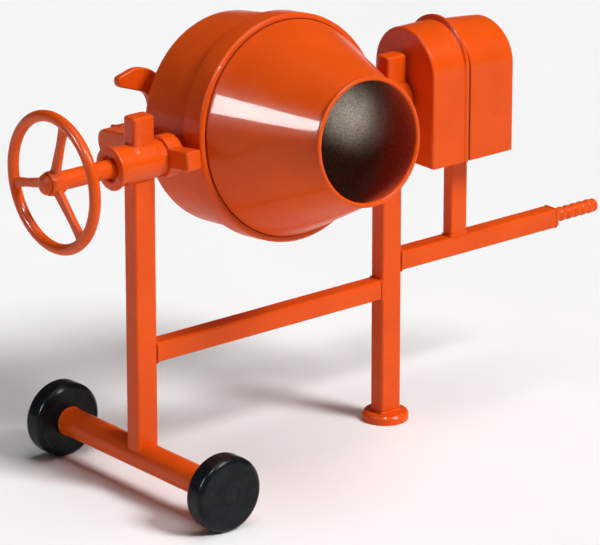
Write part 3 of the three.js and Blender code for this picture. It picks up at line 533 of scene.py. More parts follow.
def build_frame():
    axle = middle("axle_tube")
    low, high = extent("axle_tube")
    tube_radius = 0.0375
    left, right = middle("left_post"), middle("right_post")
    seat = prism("seat", circle_outline(tube_radius + 0.0003, 96, axle.x, axle.z), -0.06, 0.06, "Y")
    heads = [prism("head", circle_outline(BARREL_RADIUS + 0.0003, 96, 0, TILT_Z), x - 0.06, x + 0.06, "X")
             for x in (left.x, right.x)]
    square_tube("left_post", "Z", cutters=(seat, heads[0]))
    square_tube("right_post", "Z", cutters=(heads[1],))
    for node in ("lower_beam", "handle_beam"):
        square_tube(node, "X")
    square_tube("motor_pillar", "Z")
    for name, node, axis, end, inset in (
            ("weld_lower_left", "lower_beam", "X", 0, 0.001), ("weld_lower_right", "lower_beam", "X", 1, 0.001),
            ("weld_handle", "handle_beam", "X", 0, 0.001), ("weld_pillar_foot", "motor_pillar", "Z", 0, 0.001),
            ("weld_pillar_top", "motor_pillar", "Z", 1, 0.001), ("weld_foot", "right_post", "Z", 0, 0.001)):
        edge = extent(node)[end][AXES[axis]]
        weld(name, node, axis, edge + (inset if end == 0 else -inset))

    end_y = (high.y - low.y) / 2
    collar = tube_radius + 0.002
    bore = 0.0125
    outline = rounded([(bore, -end_y), (collar, -end_y), (collar, 0.003 - end_y), (tube_radius, 0.004 - end_y),
                       (tube_radius, end_y - 0.004), (collar, end_y - 0.003), (collar, end_y), (bore, end_y),
                       (bore, end_y - 0.015), (tube_radius - TUBE_WALL, end_y - 0.015),
                       (tube_radius - TUBE_WALL, 0.015 - end_y), (bore, 0.015 - end_y)], 0.0012)
    tube = lathe("axle_tube_turned", outline, placed(axle), 96)
    finish_piece(tube, "frame", ORANGE, "orange_paint", "axle_tube")

    low, high = extent("foot_flange")
    radius, top = high.x, high.z
    outline = rounded([(0, 0), (radius - 0.001, 0), (radius, 0.001), (radius, top - 0.007),
                       (radius - 0.005, top), (0, top)], [0, 0.002, 0.002, 0.004, 0.004, 0], closed=False)
    foot = lathe("foot_flange_turned", outline, ROW, 96, "Z")
    finish_piece(foot, "frame", ORANGE, "orange_paint", "foot_flange")

    low, high = extent("pillar_top_plate")
    centre, size = (low + high) / 2, high - low
    outline = [(centre.x + u, centre.y + v) for u, v in rounded_box_outline(size.x, size.y, 0.006)]
    plate = prism("pillar_plate", outline, low.z, high.z, "Z", bevel=0.0012)
    finish_piece(plate, "frame", ORANGE, "orange_paint", "pillar_top_plate")


def build_handle():
    low, high = extent("handle_beam_cap")
    centre, size = (low + high) / 2, high - low
    end_share = 0.86
    bm = bmesh.new()
    rings = []
    length = size.x
    for share, scale in ((0, 1.0), (0.2, 0.995), (0.5, 0.97), (0.8, 0.925), (1, end_share)):
        outline = rounded_box_outline(size.y * scale, size.z * scale, TUBE_CORNER * scale)
        rings.append([bm.verts.new((low.x + share * length, u, centre.z + v)) for u, v in outline])
    bm.faces.new(rings[0])
    bm.faces.new(rings[-1])
    for one, two in zip(rings, rings[1:]):
        for k in range(len(one)):
            j = (k + 1) % len(one)
            bm.faces.new((one[k], one[j], two[j], two[k]))
    cap = new_object("handle_cap", bm)
    hole = prism("hole", circle_outline(0.0095, 32, 0, centre.z), low.x - 0.01, high.x + 0.01, "X")
    cut(cap, hole)
    finish_piece(cap, "frame", ORANGE, "orange_paint", "handle_beam_cap")
    weld("weld_cap", "handle_beam", "X", extent("handle_beam")[1].x - 0.0002, radius=0.0018)

    low, high = extent("handle_grip")
    length, ribs = high.x - low.x, 5
    pitch = (length - 0.026) / ribs
    outline = [(0.0095, low.x), (0.0165, low.x), (0.017, low.x + 0.002), (0.017, low.x + 0.013)]
    for i in range(ribs):
        x = low.x + 0.014 + i * pitch
        crest = 0.0194
        outline += [(crest - 0.0012, x + 0.08 * pitch), (crest, x + 0.28 * pitch), (crest - 0.0004, x + 0.62 * pitch),
                    (crest - 0.0032, x + 0.84 * pitch), (crest - 0.0032, x + 0.92 * pitch)]
    end = high.x
    outline += [(0.0185, end - 0.0085), (0.0165, end - 0.004), (0.011, end), (0, end), (0, low.x + 0.101),
                (0.0095, low.x + 0.101)]
    outline = rounded(outline, 0.003, steps=3)
    grip = lathe("barrow_grip", outline, placed((0, 0, middle("handle_grip").z)), 64, "X")
    finish_piece(grip, "frame", ORANGE, "orange_paint", "handle_grip")


def build_wheels():
    for name, side in (("near", -1), ("far", 1)):
        node = f"wheel_{name}"
        low, high = extent(node)
        centre = (low + high) / 2
        inner = low.y if side > 0 else high.y
        radius, width = (high.z - low.z) / 2, high.y - low.y
        bore, pocket, floor = 0.0125, 0.024, width - 0.014
        outline = [(bore, 0), (0.030, 0), (0.032, 0.002), (radius - 0.016, 0.002), (radius - 0.012, 0),
                   (radius, 0.009), (radius, width - 0.009), (radius - 0.010, width), (pocket + 0.0005, width),
                   (pocket, width - 0.0005), (pocket, floor), (bore, floor)]
        sizes = [0, 0.001, 0.001, 0.003, 0.005, 0.014, 0.014, 0.016, 0.0006, 0.0006, 0, 0]
        outline = rounded(outline, sizes, steps=7)
        outline = [(r, side * y) for r, y in outline]
        tyre = lathe(f"tyre_{name}", outline, placed((centre.x, inner, centre.z)), 128)
        finish_piece(tyre, f"{name}_wheel", TYRE, "black_rubber", node)
        low, high = extent(f"{node}_cap")
        edge = (high.z - low.z) / 2
        outer = low.y if side < 0 else high.y
        deep = high.y - low.y
        outline = rounded([(0, 0), (edge, 0), (edge, deep - 0.0005), (edge - 0.0005, deep), (0, deep)],
                          [0, 0, 0.0002, 0.0002, 0], closed=False)
        outline = [(r, side * (y - deep)) for r, y in outline]
        cap = lathe(f"wheel_plug_{name}", outline, placed((centre.x, outer, centre.z)), 64)
        finish_piece(cap, f"{name}_wheel", TYRE, "black_plastic", f"{node}_cap")


# ---- Bearing housings: one casting on each post ----
def build_housing(node, name, block_x, collar):
    low, high = extent(node)
    barrel = prism(name, circle_outline(BARREL_RADIUS, 96, 0, TILT_Z), low.x, high.x, "X", bevel=0.003)
    width, depth = 0.065, 0.049
    head = [(block_x + u, v) for u, v in rounded_box_outline(width, depth, 0.009)]
    block = prism("block", head, TILT_Z, high.z, "Z", bevel=0.006, levels=4)
    shoulder = [(block_x + u, v) for u, v in rounded_box_outline(width + 0.006, depth + 0.022, 0.010)]
    hips = prism("hips", shoulder, TILT_Z, TILT_Z + 0.044, "Z", bevel=0.009, levels=4)
    solids = [barrel, block, hips]
    bore = 0.0327
    if collar:
        solids.append(prism("collar", circle_outline(BARREL_RADIUS + 0.0068, 96, 0, TILT_Z), low.x,
                            low.x + 0.012, "X", bevel=0.003))
    else:
        bore = 0.0367
    hole = prism("hole", circle_outline(bore, 96, 0, TILT_Z), low.x - 0.01, high.x + 0.01, "X")
    housing = cast(name, solids, [hole], rounds=40)
    return finish_piece(housing, "frame", CAST_ORANGE, "orange_paint", node)


# ---- Motor case ----
CASE_WALL = 0.003
CASE_CORNER = 0.007


def arch_outline(half, bottom, top, droop=1.0, corner=0.004, steps=40):
    """An arch across Y and up Z: a flat bottom with small corners, straight sides and a round crown."""
    spring = top - half
    outline = []
    for side, start in ((-1, 180), (1, 270)):
        for k in range(5):
            angle = math.radians(start + 90 * k / 4)
            outline.append((side * (half - corner) + corner * math.cos(angle), bottom + corner + corner * math.sin(angle)))
    for k in range(steps + 1):
        angle = math.pi * k / steps
        outline.append((half * math.cos(angle), spring + droop * half * math.sin(angle)))
    return outline


def arch_loft(name, sections):
    """A solid through arches: each section is (x, half width, bottom, top, droop)."""
    bm = bmesh.new()
    rings = []
    for x, half, bottom, top, droop in sections:
        rings.append([bm.verts.new((x, u, v)) for u, v in arch_outline(half, bottom, top, droop)])
    bm.faces.new(rings[0])
    bm.faces.new(rings[-1])
    for one, two in zip(rings, rings[1:]):
        for k in range(len(one)):
            j = (k + 1) % len(one)
            bm.faces.new((one[k], one[j], two[j], two[k]))
    return new_object(name, bm)


def edge_sections(x, towards, half, bottom, top, droop=1.0, radius=CASE_CORNER, steps=6):
    """Sections that round an arch's end face into its sides, from the face outwards."""
    result = []
    for k in range(steps + 1):
        angle = math.pi / 2 * k / steps
        inset = radius * (1 - math.sin(angle))
        along = x + towards * radius * (1 - math.cos(angle))
        result.append((along, half - inset, bottom + inset, top - inset, droop))
    return result


def shade_seam(shell, x0, x1):
    """Painted shade, mottled like grime, on the faces between two planes across X."""
    shell.data.materials.append(ORANGE)
    shell.data.materials.append(SEAM_SHADE)
    for face in shell.data.polygons:
        if x0 - 0.0001 < face.center.x < x1 + 0.0001:
            face.material_index = 1


def build_case():
    low, high = extent("motor_case_front")
    bead, bead_rise = 0.003, 0.010
    half, bottom = high.y - bead, low.z + bead
    top = high.z - bead_rise - bead
    x0, seam = low.x, high.x
    sections = edge_sections(x0, 1, half, bottom, top)
    for share, back in ((0, 0.0185), (0.35, 0.0170), (0.8, 0.0155), (1, 0.0135), (1, 0.0078), (0.8, 0.0060),
                        (0.35, 0.0048), (0, 0.0040), (-0.95, 0.0034), (-0.95, 0.0)):
        rise = share * (bead + bead_rise) if share > 0 else share * bead
        sections.append((seam - back, half + share * bead, bottom - share * bead, top + rise, 1.0))
    front = arch_loft("case_front_shell", sections)
    room = arch_loft("room", [(x0 + CASE_WALL, half - CASE_WALL, bottom + CASE_WALL, top - CASE_WALL, 1.0),
                              (seam + 0.01, half - CASE_WALL, bottom + CASE_WALL, top - CASE_WALL, 1.0)])
    hole = prism("hole", circle_outline(0.033, 96, 0, TILT_Z), x0 - 0.01, x0 + 0.02, "X")
    plate_low, plate_high = extent("pillar_top_plate")
    seat = prism("seat", [(plate_low.x - 0.001, plate_low.y - 0.001), (plate_high.x + 0.001, plate_low.y - 0.001),
                          (plate_high.x + 0.001, plate_high.y + 0.001), (plate_low.x - 0.001, plate_high.y + 0.001)],
                 bottom - 0.01, bottom, "Z")
    cut(front, room, hole, seat)
    # painted shade down in the seam groove of the front shell
    shade_seam(front, seam - 0.0039, seam)
    finish_piece(front, "frame", ORANGE, "orange_paint", "motor_case_front")

    low, high = extent("motor_case_rear")
    x1, back_top = high.x, high.z
    droop_end = 0.88
    groove, groove_end, shoulder_end = 0.0028, 0.0022, 0.0050
    sections = [(low.x + along, half - inset, bottom + inset, back_top - inset, 1.0)
                for along, inset in ((0, groove), (groove_end - 0.0004, groove), (groove_end, 0.0018),
                                     (groove_end + 0.0009, 0.0006), (shoulder_end, 0))]
    steps = 14
    for k in range(1, steps + 1):
        share = k / steps
        x = low.x + shoulder_end + share * (x1 - CASE_CORNER - low.x - shoulder_end)
        sections.append((x, half, bottom, back_top, 1 - (1 - droop_end) * share ** 1.15))
    sections += list(reversed(edge_sections(x1, -1, half, bottom, back_top, droop_end)))[1:]
    rear = arch_loft("case_rear_shell", sections)
    inner = half - CASE_WALL
    room = arch_loft("room", [(low.x - 0.01, inner, bottom + CASE_WALL, back_top - CASE_WALL, 1.0),
                              (low.x + 0.01, inner, bottom + CASE_WALL, back_top - CASE_WALL, 1.0),
                              (x1 - CASE_WALL, inner, bottom + CASE_WALL, back_top - CASE_WALL, droop_end)])
    box, inlet = middle("switch_box"), middle("power_inlet")
    holes = [prism("hole", circle_outline(0.016, 48, at.y, at.z), x1 - 0.01, x1 + 0.01, "X") for at in (box, inlet)]
    cut(rear, room, *holes)
    # painted shade down in the seam groove of the rear shell
    shade_seam(rear, low.x, low.x + groove_end)
    finish_piece(rear, "frame", ORANGE, "orange_paint", "motor_case_rear")
    build_louvres(x1, half)
    build_case_screws(x1, half, bottom)


def build_louvres(face, half):
    """Pressed cooling louvres beside the inlet, in the operator's face of the case."""
    for i in range(5):
        z = TILT_Z - 0.145 + 0.022 * i
        profile = rounded([(face - 0.001, z), (face - 0.001, z + 0.014), (face + 0.0006, z + 0.014),
                           (face + 0.0065, z + 0.003), (face + 0.0065, z)], 0.003, steps=4)
        hood = prism(f"louvre_{i + 1}", [(x, v) for x, v in profile], 0.012, half - 0.022, "Y", bevel=0.0012)
        finish_piece(hood, "frame", ORANGE, "orange_paint")


def screw(name, centre, axis, head=0.0075, height=0.0042, body="frame"):
    """A pan-head screw with a cross recess, its head standing out along +X or -X."""
    x, y, z = centre
    out = 1 if axis > 0 else -1
    dome = rounded([(0, 0), (head, 0), (head, height * 0.5), (head * 0.6, height), (0, height)],
                   [0, 0, 0.001, 0.003, 0], closed=False, steps=4)
    piece = lathe(name, [(r, out * h) for r, h in dome], placed((x, y, z)), 32, "X")
    arm, slot_width, deep = head * 0.55, head * 0.16, height * 0.45
    bars = []
    for wide, tall in ((arm, slot_width), (slot_width, arm)):
        outline = [(y - wide, z - tall), (y + wide, z - tall), (y + wide, z + tall), (y - wide, z + tall)]
        near, far = x + out * (height - deep), x + out * (height + 0.01)
        bars.append(prism("bar", outline, min(near, far), max(near, far), "X"))
    cut(piece, *bars)
    return finish_piece(piece, body, ZINC, "steel")


def build_case_screws(face, half, bottom):
    side = half - 0.016
    for i, (y, z) in enumerate(((-side, bottom + 0.018), (side, bottom + 0.018), (-side, bottom + 0.200),
                                (side, bottom + 0.200))):
        screw(f"case_screw_{i + 1}", (face - 0.0003, y, z), 1)


def build_controls():
    low, high = extent("switch_box")
    centre, size = (low + high) / 2, high - low
    outline = [(centre.y + u, centre.z + v) for u, v in rounded_box_outline(size.y, size.z, 0.008)]
    box = prism("switch_housing", outline, low.x, high.x, "X", bevel=0.003, levels=4)
    pockets = []
    for node in ("stop_button", "start_button"):
        at = middle(node)
        pockets.append(prism("pocket", circle_outline(0.0126, 64, at.y, at.z), low.x + 0.006, high.x + 0.01, "X"))
    cut(box, *pockets)
    finish_piece(box, "frame", BLACK, "black_plastic", "switch_box")
    for i, (dy, dz) in enumerate(((-0.025, -0.040), (0.025, -0.040), (-0.025, 0.040), (0.025, 0.040))):
        screw(f"switch_screw_{i + 1}", (high.x - 0.0003, centre.y + dy, centre.z + dz), 1, 0.0035, 0.002)
    for node, material, slot, dish in (("stop_button", RED, "red_plastic", -0.001), ("start_button", GREEN, "green_plastic", 0.0)):
        low, high = extent(node)
        at = (low + high) / 2
        radius = (high.z - low.z) / 2
        outline = rounded([(0, low.x), (radius, low.x), (radius, high.x - 0.002), (radius - 0.002, high.x),
                           (radius * 0.6, high.x - 0.0004), (0, high.x - 0.0012 + dish)],
                          [0, 0.0005, 0.002, 0.002, 0.004, 0], closed=False)
        cap = lathe(f"{node}_cap", outline, placed((0, at.y, at.z)), 64, "X")
        finish_piece(cap, node.split("_")[0], material, slot, node)

    low, high = extent("power_inlet")
    at, radius, length = (low + high) / 2, (high.z - low.z) / 2, high.x - low.x
    outline = rounded([(0, 0), (radius, 0), (radius, 0.004), (radius - 0.007, 0.004), (radius - 0.007, length),
                       (radius - 0.0105, length), (radius - 0.0105, 0.008), (0, 0.008)],
                      [0, 0.001, 0.002, 0.002, 0.0012, 0.0012, 0.001, 0], closed=False)
    shroud = lathe("inlet_shroud", outline, placed((low.x, at.y, at.z)), 96, "X")
    finish_piece(shroud, "frame", BLACK, "black_plastic", "power_inlet")
    pin_ring, pin_length = 0.010, 0.022
    for i in range(3):
        angle = math.radians(90 + 120 * i)
        y, z = at.y + pin_ring * math.cos(angle), at.z + pin_ring * math.sin(angle)
        start = low.x + 0.0083
        outline = rounded([(0, 0), (0.0025, 0), (0.0025, pin_length - 0.001), (0.0012, pin_length), (0, pin_length)],
                          [0, 0, 0.001, 0.001, 0], closed=False)
        pin = lathe(f"inlet_pin_{i + 1}", outline, placed((start, y, z)), 24, "X")
        finish_piece(pin, "frame", BRASS, "steel")


# ---- Yoke, tilt shaft and handwheel ----
BOSS_RADIUS = 0.054


def arm_outline(low, high):
    """A round boss on the tilt axis, a square nose in front and a deeper rear end, across Y and up Z."""
    half, corner = 0.025, 0.024
    lean = math.asin(half / BOSS_RADIUS)
    outline = [(high.y - corner, -half), (high.y - corner * 0.3, -half + corner * 0.3), (high.y, -half + corner),
               (high.y, 0.044 - corner), (high.y - corner * 0.3, 0.044 - corner * 0.3), (high.y - corner, 0.044),
               (0.140, 0.044)]
    for k in range(25):
        angle = lean + (math.pi - 2 * lean) * k / 24
        outline.append((BOSS_RADIUS * math.cos(angle), BOSS_RADIUS * math.sin(angle)))
    outline += [(low.y, half), (low.y, -half)]
    for k in range(25):
        angle = math.pi + lean + (math.pi - 2 * lean) * k / 24
        outline.append((BOSS_RADIUS * math.cos(angle), BOSS_RADIUS * math.sin(angle)))
    return outline


def build_yoke():
    for side, bore in (("left", 0.0243), ("right", 0.0303)):
        node = f"yoke_arm_{side}"
        low, high = extent(node, YOKE)
        arm = prism(node, arm_outline(low, high), low.x, high.x, "X", YOKE, bevel=0.004, levels=3)
        hole = prism("hole", circle_outline(bore + 0.0005, 96), low.x - 0.01, high.x + 0.01, "X", YOKE)
        piece = cast(f"{node}_casting", [arm], [hole], voxel=0.0019, rounds=26)
        finish_piece(piece, "yoke", CAST_ORANGE, "orange_paint", node)

    low, high = extent("yoke_crossbar", YOKE)
    spindle = middle("drum_spindle", YOKE)
    hole = prism("hole", circle_outline(0.0207, 64, spindle.x, spindle.z), low.y - 0.01, high.y + 0.01, "Y", YOKE)
    square_tube("yoke_crossbar", "X", "yoke", (hole,), YOKE)
    for name, at in (("weld_bar_left", low.x + 0.001), ("weld_bar_right", high.x - 0.001)):
        weld(name, "yoke_crossbar", "X", at, "yoke", YOKE)

    low, high = extent("spindle_nut", YOKE)
    hexagon = [(spindle.x + u, spindle.z + v) for u, v in circle_outline(0.046 / math.sqrt(3), 6)]
    nut = prism("spindle_locknut", hexagon, low.y, high.y, "Y", YOKE, bevel=0.0012)
    hole = prism("hole", circle_outline(0.0205, 48, spindle.x, spindle.z), low.y - 0.01, high.y + 0.01, "Y", YOKE)
    cut(nut, hole)
    finish_piece(nut, "yoke", ZINC, "steel", "spindle_nut")
    build_horn()


def bezier(start, control, end, steps=8):
    a, b, c = Vector(start), Vector(control), Vector(end)
    return [tuple((1 - t) ** 2 * a + 2 * t * (1 - t) * b + t * t * c)
            for t in (k / steps for k in range(1, steps + 1))]


def build_horn():
    """The bent stop on the yoke's rear left corner."""
    low, high = extent("yoke_horn", YOKE)
    base = low.z
    x = low.x
    outline = [(x + 0.178, base)]
    for start, control, end in (((0.178, base), (0.150, 0.150), (0.098, 0.174)),
                                ((0.098, 0.174), (0.072, 0.186), (0.048, 0.181)),
                                ((0.048, 0.181), (0.029, 0.176), (0.010, 0.171)),
                                ((0.010, 0.171), (0.0, 0.168), (0.0, 0.158)),
                                ((0.0, 0.158), (0.0, 0.144), (0.012, 0.140)),
                                ((0.012, 0.140), (0.041, 0.130), (0.070, 0.120)),
                                ((0.070, 0.120), (0.092, 0.112), (0.095, 0.084)),
                                ((0.095, 0.084), (0.097, 0.063), (0.100, base))):
        outline += [(x + u, v) for u, v in bezier(start, control, end)]
    horn = prism("horn", outline, low.y, high.y, "Y", YOKE, bevel=0.004, levels=3)
    piece = cast("yoke_horn_casting", [horn], voxel=0.0018, rounds=8)
    finish_piece(piece, "yoke", CAST_ORANGE, "orange_paint", "yoke_horn")


def build_handwheel():
    low, high = extent("tilt_shaft", YOKE)
    radius, chamfer = high.z, 0.0015
    outline = [(0, low.x), (radius - chamfer, low.x), (radius, low.x + chamfer), (radius, high.x - chamfer),
               (radius - chamfer, high.x), (0, high.x)]
    shaft = lathe("tilt_shaft_turned", outline, YOKE, 96, "X")
    finish_piece(shaft, "yoke", ORANGE, "orange_paint", "tilt_shaft")

    low, high = extent("handwheel", YOKE)
    x = extent("tilt_shaft", YOKE)[0].x + 0.024
    rim_radius = 0.0145
    wheel_radius = high.z - rim_radius
    rim = lathe("rim", [(wheel_radius + u, x + v) for u, v in circle_outline(rim_radius, 40)], YOKE, 160, "X")
    hub_outline = rounded([(0, x - 0.022), (0.028, x - 0.022), (0.031, x - 0.014), (0.031, x + 0.018),
                           (0.028, x + 0.024), (0, x + 0.024)], [0, 0.003, 0.004, 0.004, 0.003, 0], closed=False)
    hub = lathe("hub", hub_outline, YOKE, 96, "X")
    spokes = []
    for i in range(3):
        angle = math.radians(-6.5 + 120 * i)
        turn = Matrix.Rotation(angle, 2)
        shape = [(0.020, -0.014), (0.110, -0.0105), (0.148, -0.0125), (wheel_radius - 0.002, -0.019),
                 (wheel_radius - 0.002, 0.019), (0.148, 0.0125), (0.110, 0.0105), (0.020, 0.014)]
        outline = [tuple(turn @ Vector(point)) for point in shape]
        spokes.append(prism("spoke", outline, x - 0.008, x + 0.008, "X", YOKE, bevel=0.0035))
    bore = prism("bore", circle_outline(0.0246, 96), x - 0.05, x + 0.05, "X", YOKE)
    wheel = cast("handwheel_casting", [hub, rim, *spokes], [bore], voxel=0.0015, rounds=8)
    finish_piece(wheel, "yoke", CAST_ORANGE, "orange_paint", "handwheel")

    low, high = extent("handwheel_cap", YOKE)
    edge, deep = high.z, high.x - low.x
    outline = rounded([(0, 0), (edge, 0), (edge, 0.003), (edge - 0.003, 0.007), (edge * 0.5, deep - 0.001),
                       (0, deep)], [0, 0.0005, 0.002, 0.004, 0.008, 0], closed=False)
    cap = lathe("handwheel_dome", [(r, high.x - h) for r, h in outline], YOKE, 96, "X")
    finish_piece(cap, "yoke", ORANGE, "orange_paint", "handwheel_cap")


# ---- Drum ----
def radius_at(node, place, height, reach=0.0015):
    back = place.inverted()
    points = [back @ vertex.co for vertex in frame["nodes"][node].data.vertices]
    return max(math.hypot(p.x, p.z) for p in points if abs(p.y - height) < reach)


def line_inside(piece, is_inside):
    """Gives the drum's inner faces the worn metal. is_inside takes a face's middle and normal."""
    piece.data.materials.append(ORANGE)
    piece.data.materials.append(INSIDE)
    back = DRUM.inverted()
    turn = back.to_3x3()
    for face in piece.data.polygons:
        at, normal = back @ face.center, turn @ face.normal
        radius = math.hypot(at.x, at.z)
        outward = (at.x * normal.x + at.z * normal.z) / max(radius, 1e-6)
        if is_inside(radius, at.y, outward, normal.y):
            face.material_index = 1


def build_drum():
    segments = 224
    low, high = extent("drum_front_shell", DRUM)
    joint, mouth = high.y, low.y
    shell = radius_at("drum_front_shell", DRUM, joint)
    neck = radius_at("drum_front_shell", DRUM, mouth + 0.016)
    wall, lip = 0.003, 0.0062
    lip_at = (neck - 0.0004, mouth + lip)
    outline = rounded([(shell, joint), (shell, -0.1003), (neck, mouth + 0.016)], [0, 0.11, 0], closed=False,
                      steps=10)
    for k in range(17):
        angle = math.radians(70 - 250 * k / 16)
        outline.append((lip_at[0] + lip * math.cos(angle), lip_at[1] + lip * math.sin(angle)))
    inner = shell - wall
    bend, spread = -0.103, 0.080
    slope = (inner - neck + 0.0045) / (bend - mouth - 0.016)
    outline.append((neck - 0.0045, mouth + 0.016))

    def swept(y):
        """The inner wall's radius where the cone runs smoothly into the cylinder."""
        return inner - slope * max(0, bend + spread - y) ** 2 / (4 * spread)

    outline += [(swept(y), y) for y in (bend - spread + k * (joint - bend + spread) / 16 for k in range(17))]
    front = lathe("drum_cone", outline, DRUM, segments)
    line_inside(front, lambda r, y, outward, along: outward < -0.2 and y > mouth + 0.009)
    # Painted shade: a thin strip of the cone's outside, just in front of the band, for the band's shadow
    front.data.materials.append(SEAM_SHADE)
    back = DRUM.inverted()
    for face in front.data.polygons:
        if face.material_index == 0 and (back @ face.center).y > -0.1045:
            face.material_index = 2
    finish_piece(front, "drum", ORANGE, "orange_paint", "drum_front_shell")

    low, high = extent("drum_rear_shell", DRUM)
    joint, back = low.y, high.y
    edge_y = 0.160
    edge = radius_at("drum_rear_shell", DRUM, edge_y - 0.009)
    hole = 0.046
    outline = [(shell, joint), (shell, 0.050), (edge, edge_y - 0.010), (edge - 0.009, edge_y), (0.150, 0.1693),
               (hole, back)]
    inside = [(hole, back - wall), (0.150, 0.1693 - wall), (edge - wall, edge_y - wall),
              (inner, 0.050), (inner, bend + spread)]
    outline = rounded(outline, [0, 0.3, 0.016, 0.016, 0.1, 0], closed=False, steps=8)
    outline += rounded(inside, [0, 0.1, 0.030, 0.3, 0], closed=False, steps=10)
    outline += [(swept(y), y) for y in (bend + spread - k * (bend + spread - joint) / 8 for k in range(1, 9))]
    rear = lathe("drum_pan", outline, DRUM, segments)
    line_inside(rear, lambda r, y, outward, along: outward < -0.2 or (along < -0.3 and r < edge - 0.004))
    finish_piece(rear, "drum", ORANGE, "orange_paint", "drum_rear_shell")
    build_band(segments)

    low, high = extent("drum_hub", DRUM)
    outline = rounded([(0, low.y), (0.042, low.y), (0.042, 0.1765), (0.045, 0.1768), (0.045, 0.1785),
                       (0.080, 0.1785), (0.080, 0.186), (0.044, 0.190), (0.026, 0.190), (0.026, 0.184),
                       (0.0315, 0.184), (0.0315, 0.120), (0, 0.120)],
                      [0, 0.003, 0.001, 0, 0, 0.001, 0.002, 0.006, 0.001, 0.001, 0.001, 0, 0], closed=False, steps=4)
    hub = lathe("drum_hub_casting", outline, DRUM, 96)
    finish_piece(hub, "drum", IRON, "cast_iron", "drum_hub")
    bolts = 6
    for i in range(bolts):
        angle = math.radians(360 * i / bolts + 15)
        u, v = 0.065 * math.cos(angle), 0.065 * math.sin(angle)
        hexagon = circle_outline(0.0095, 6, u, v)
        head = prism(f"hub_bolt_{i + 1}", hexagon, 0.1862, 0.1862 + 0.0055, "Y", DRUM, bevel=0.0008)
        finish_piece(head, "drum", ZINC, "steel")


def build_band(segments):
    """The band over the drum's joint, with the crown gear's teeth behind it."""
    low, high = extent("ring_gear", DRUM)
    shell = radius_at("drum_front_shell", DRUM, extent("drum_front_shell", DRUM)[1].y) + 0.0003
    radius, front = high.x, low.y
    shroud_end, gear_front = high.y, -0.047
    outline = [(shell, front), (radius - 0.005, front), (radius, front + 0.005), (radius, shroud_end),
               (radius - 0.002, shroud_end), (radius - 0.002, gear_front), (shell, gear_front)]
    outline = rounded(outline, [0.0005, 0.003, 0.004, 0.001, 0.0006, 0.001, 0.0005], steps=5)
    band = lathe("drum_band", outline, DRUM, segments)
    teeth, inner, outer = 84, 0.2775, 0.2878
    bm = bmesh.new()
    first = math.asin(0.017 / 0.281)
    root, tip = 0.0037, 0.0017
    for i in range(teeth):
        angle = -first - 2 * math.pi * (i + 0.5) / teeth
        corners = []
        for r in (inner, outer):
            for across_tooth, y in ((-root, gear_front - 0.001), (root, gear_front - 0.001), (tip, gear_front + 0.0122),
                                    (-tip, gear_front + 0.0122)):
                x = r * math.cos(angle) - across_tooth * math.sin(angle)
                z = r * math.sin(angle) + across_tooth * math.cos(angle)
                corners.append(bm.verts.new((x, y, z)))
        a, b = corners[:4], corners[4:]
        bm.faces.new(a)
        bm.faces.new(b)
        for k in range(4):
            bm.faces.new((a[k], a[(k + 1) % 4], b[(k + 1) % 4], b[k]))
    crown = new_object("crown_teeth", bm, DRUM)
    finish_piece(crown, "drum", IRON, "cast_iron")
    finish_piece(band, "drum", ORANGE, "orange_paint", "ring_gear")


# ---- Studio ----
VIEW_TURN = math.radians(50.57)      # the camera looks this far round from +X, and this far down
VIEW_DROP = math.radians(19.42)
VIEW_DISTANCE = 11.862
VIEW_AIM = Vector((-0.3813, -0.1098, 0.5215))
SENSOR = 36.0
LENS = 281.02


def build_camera():
    camera = bpy.data.cameras.new("camera")
    camera.sensor_width = SENSOR
    camera.lens = LENS
    camera.clip_end = 200
    eye = bpy.data.objects.new("camera", camera)
    bpy.context.scene.collection.objects.link(eye)
    look = Vector((math.cos(VIEW_TURN) * math.cos(VIEW_DROP), math.sin(VIEW_TURN) * math.cos(VIEW_DROP),
                   -math.sin(VIEW_DROP)))
    eye.location = VIEW_AIM - look * VIEW_DISTANCE
    eye.rotation_euler = look.to_track_quat("-Z", "Y").to_euler()
    bpy.context.scene.camera = eye


def softbox(name, turn, rise, distance, width, height, power, aim=VIEW_AIM):
    """A rectangular light for highlights, at a compass turn from +X and a rise above the floor."""
    light = bpy.data.lights.new(name, "AREA")
    light.shape = "RECTANGLE"
    light.size, light.size_y = width, height
    light.energy = power
    holder = bpy.data.objects.new(name, light)
    bpy.context.scene.collection.objects.link(holder)
    turn, rise = math.radians(turn), math.radians(rise)
    away = Vector((math.cos(turn) * math.cos(rise), math.sin(turn) * math.cos(rise), math.sin(rise)))
    holder.location = aim + away * distance
    holder.rotation_euler = (-away).to_track_quat("-Z", "Y").to_euler()
    holder.visible_diffuse = False


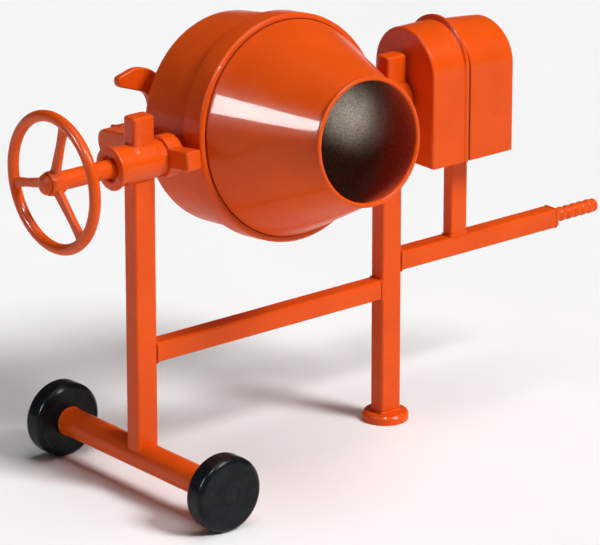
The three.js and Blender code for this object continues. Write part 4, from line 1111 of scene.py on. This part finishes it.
def broad_light(name, turn, rise, strength, width):
    """An even light from far away, as wide as the given angle, that falls the same on the whole floor."""
    light = bpy.data.lights.new(name, "SUN")
    light.energy = strength
    light.angle = math.radians(width)
    holder = bpy.data.objects.new(name, light)
    bpy.context.scene.collection.objects.link(holder)
    turn, rise = math.radians(turn), math.radians(rise)
    away = Vector((math.cos(turn) * math.cos(rise), math.sin(turn) * math.cos(rise), math.sin(rise)))
    holder.rotation_euler = (-away).to_track_quat("-Z", "Y").to_euler()


def mouth_light():
    """A narrow lamp that reaches into the drum's mouth and lights the wall beyond it."""
    light = bpy.data.lights.new("mouth_light", "SPOT")
    light.energy = 4200
    light.spot_size = math.radians(1.3)
    light.spot_blend = 1.0
    light.shadow_soft_size = 0.04
    holder = bpy.data.objects.new("mouth_light", light)
    bpy.context.scene.collection.objects.link(holder)
    target = DRUM @ Vector((0.272, 0.005, -0.026))
    away = Vector((-0.607, -0.776, 0.173)).normalized()
    holder.location = target + away * 8.0
    holder.rotation_euler = (-away).to_track_quat("-Z", "Y").to_euler()


def build_studio():
    reach = 60.0
    bm = bmesh.new()
    bmesh.ops.create_grid(bm, x_segments=4, y_segments=4, size=reach)
    floor = new_object("floor", bm)
    floor.data.materials.append(floor_finish())

    world = bpy.data.worlds.new("studio")
    world.use_nodes = True
    sky = world.node_tree.nodes["Background"]
    sky.inputs["Color"].default_value = (0.97, 0.98, 1.0, 1)
    sky.inputs["Strength"].default_value = 0.06
    bpy.context.scene.world = world
    broad_light("key", -68, 44, 2.95, 18)
    broad_light("top", -40, 80, 1.15, 40)
    softbox("strip", 169.5, 28, 9.0, 1.1, 2.5, 950)
    softbox("glint", -128, 52, 5.0, 0.30, 0.30, 150)
    mouth_light()
    bpy.context.scene.view_settings.view_transform = "Standard"


finish_cad_nodes()
build_camera()
build_frame()
build_handle()
build_wheels()
build_housing("left_bearing_housing", "left_bearing_casting", middle("left_post").x, True)
build_housing("right_bearing_housing", "right_bearing_casting", RIGHT_BLOCK_X, False)
build_case()
build_controls()
build_yoke()
build_handwheel()
build_drum()
build_studio()
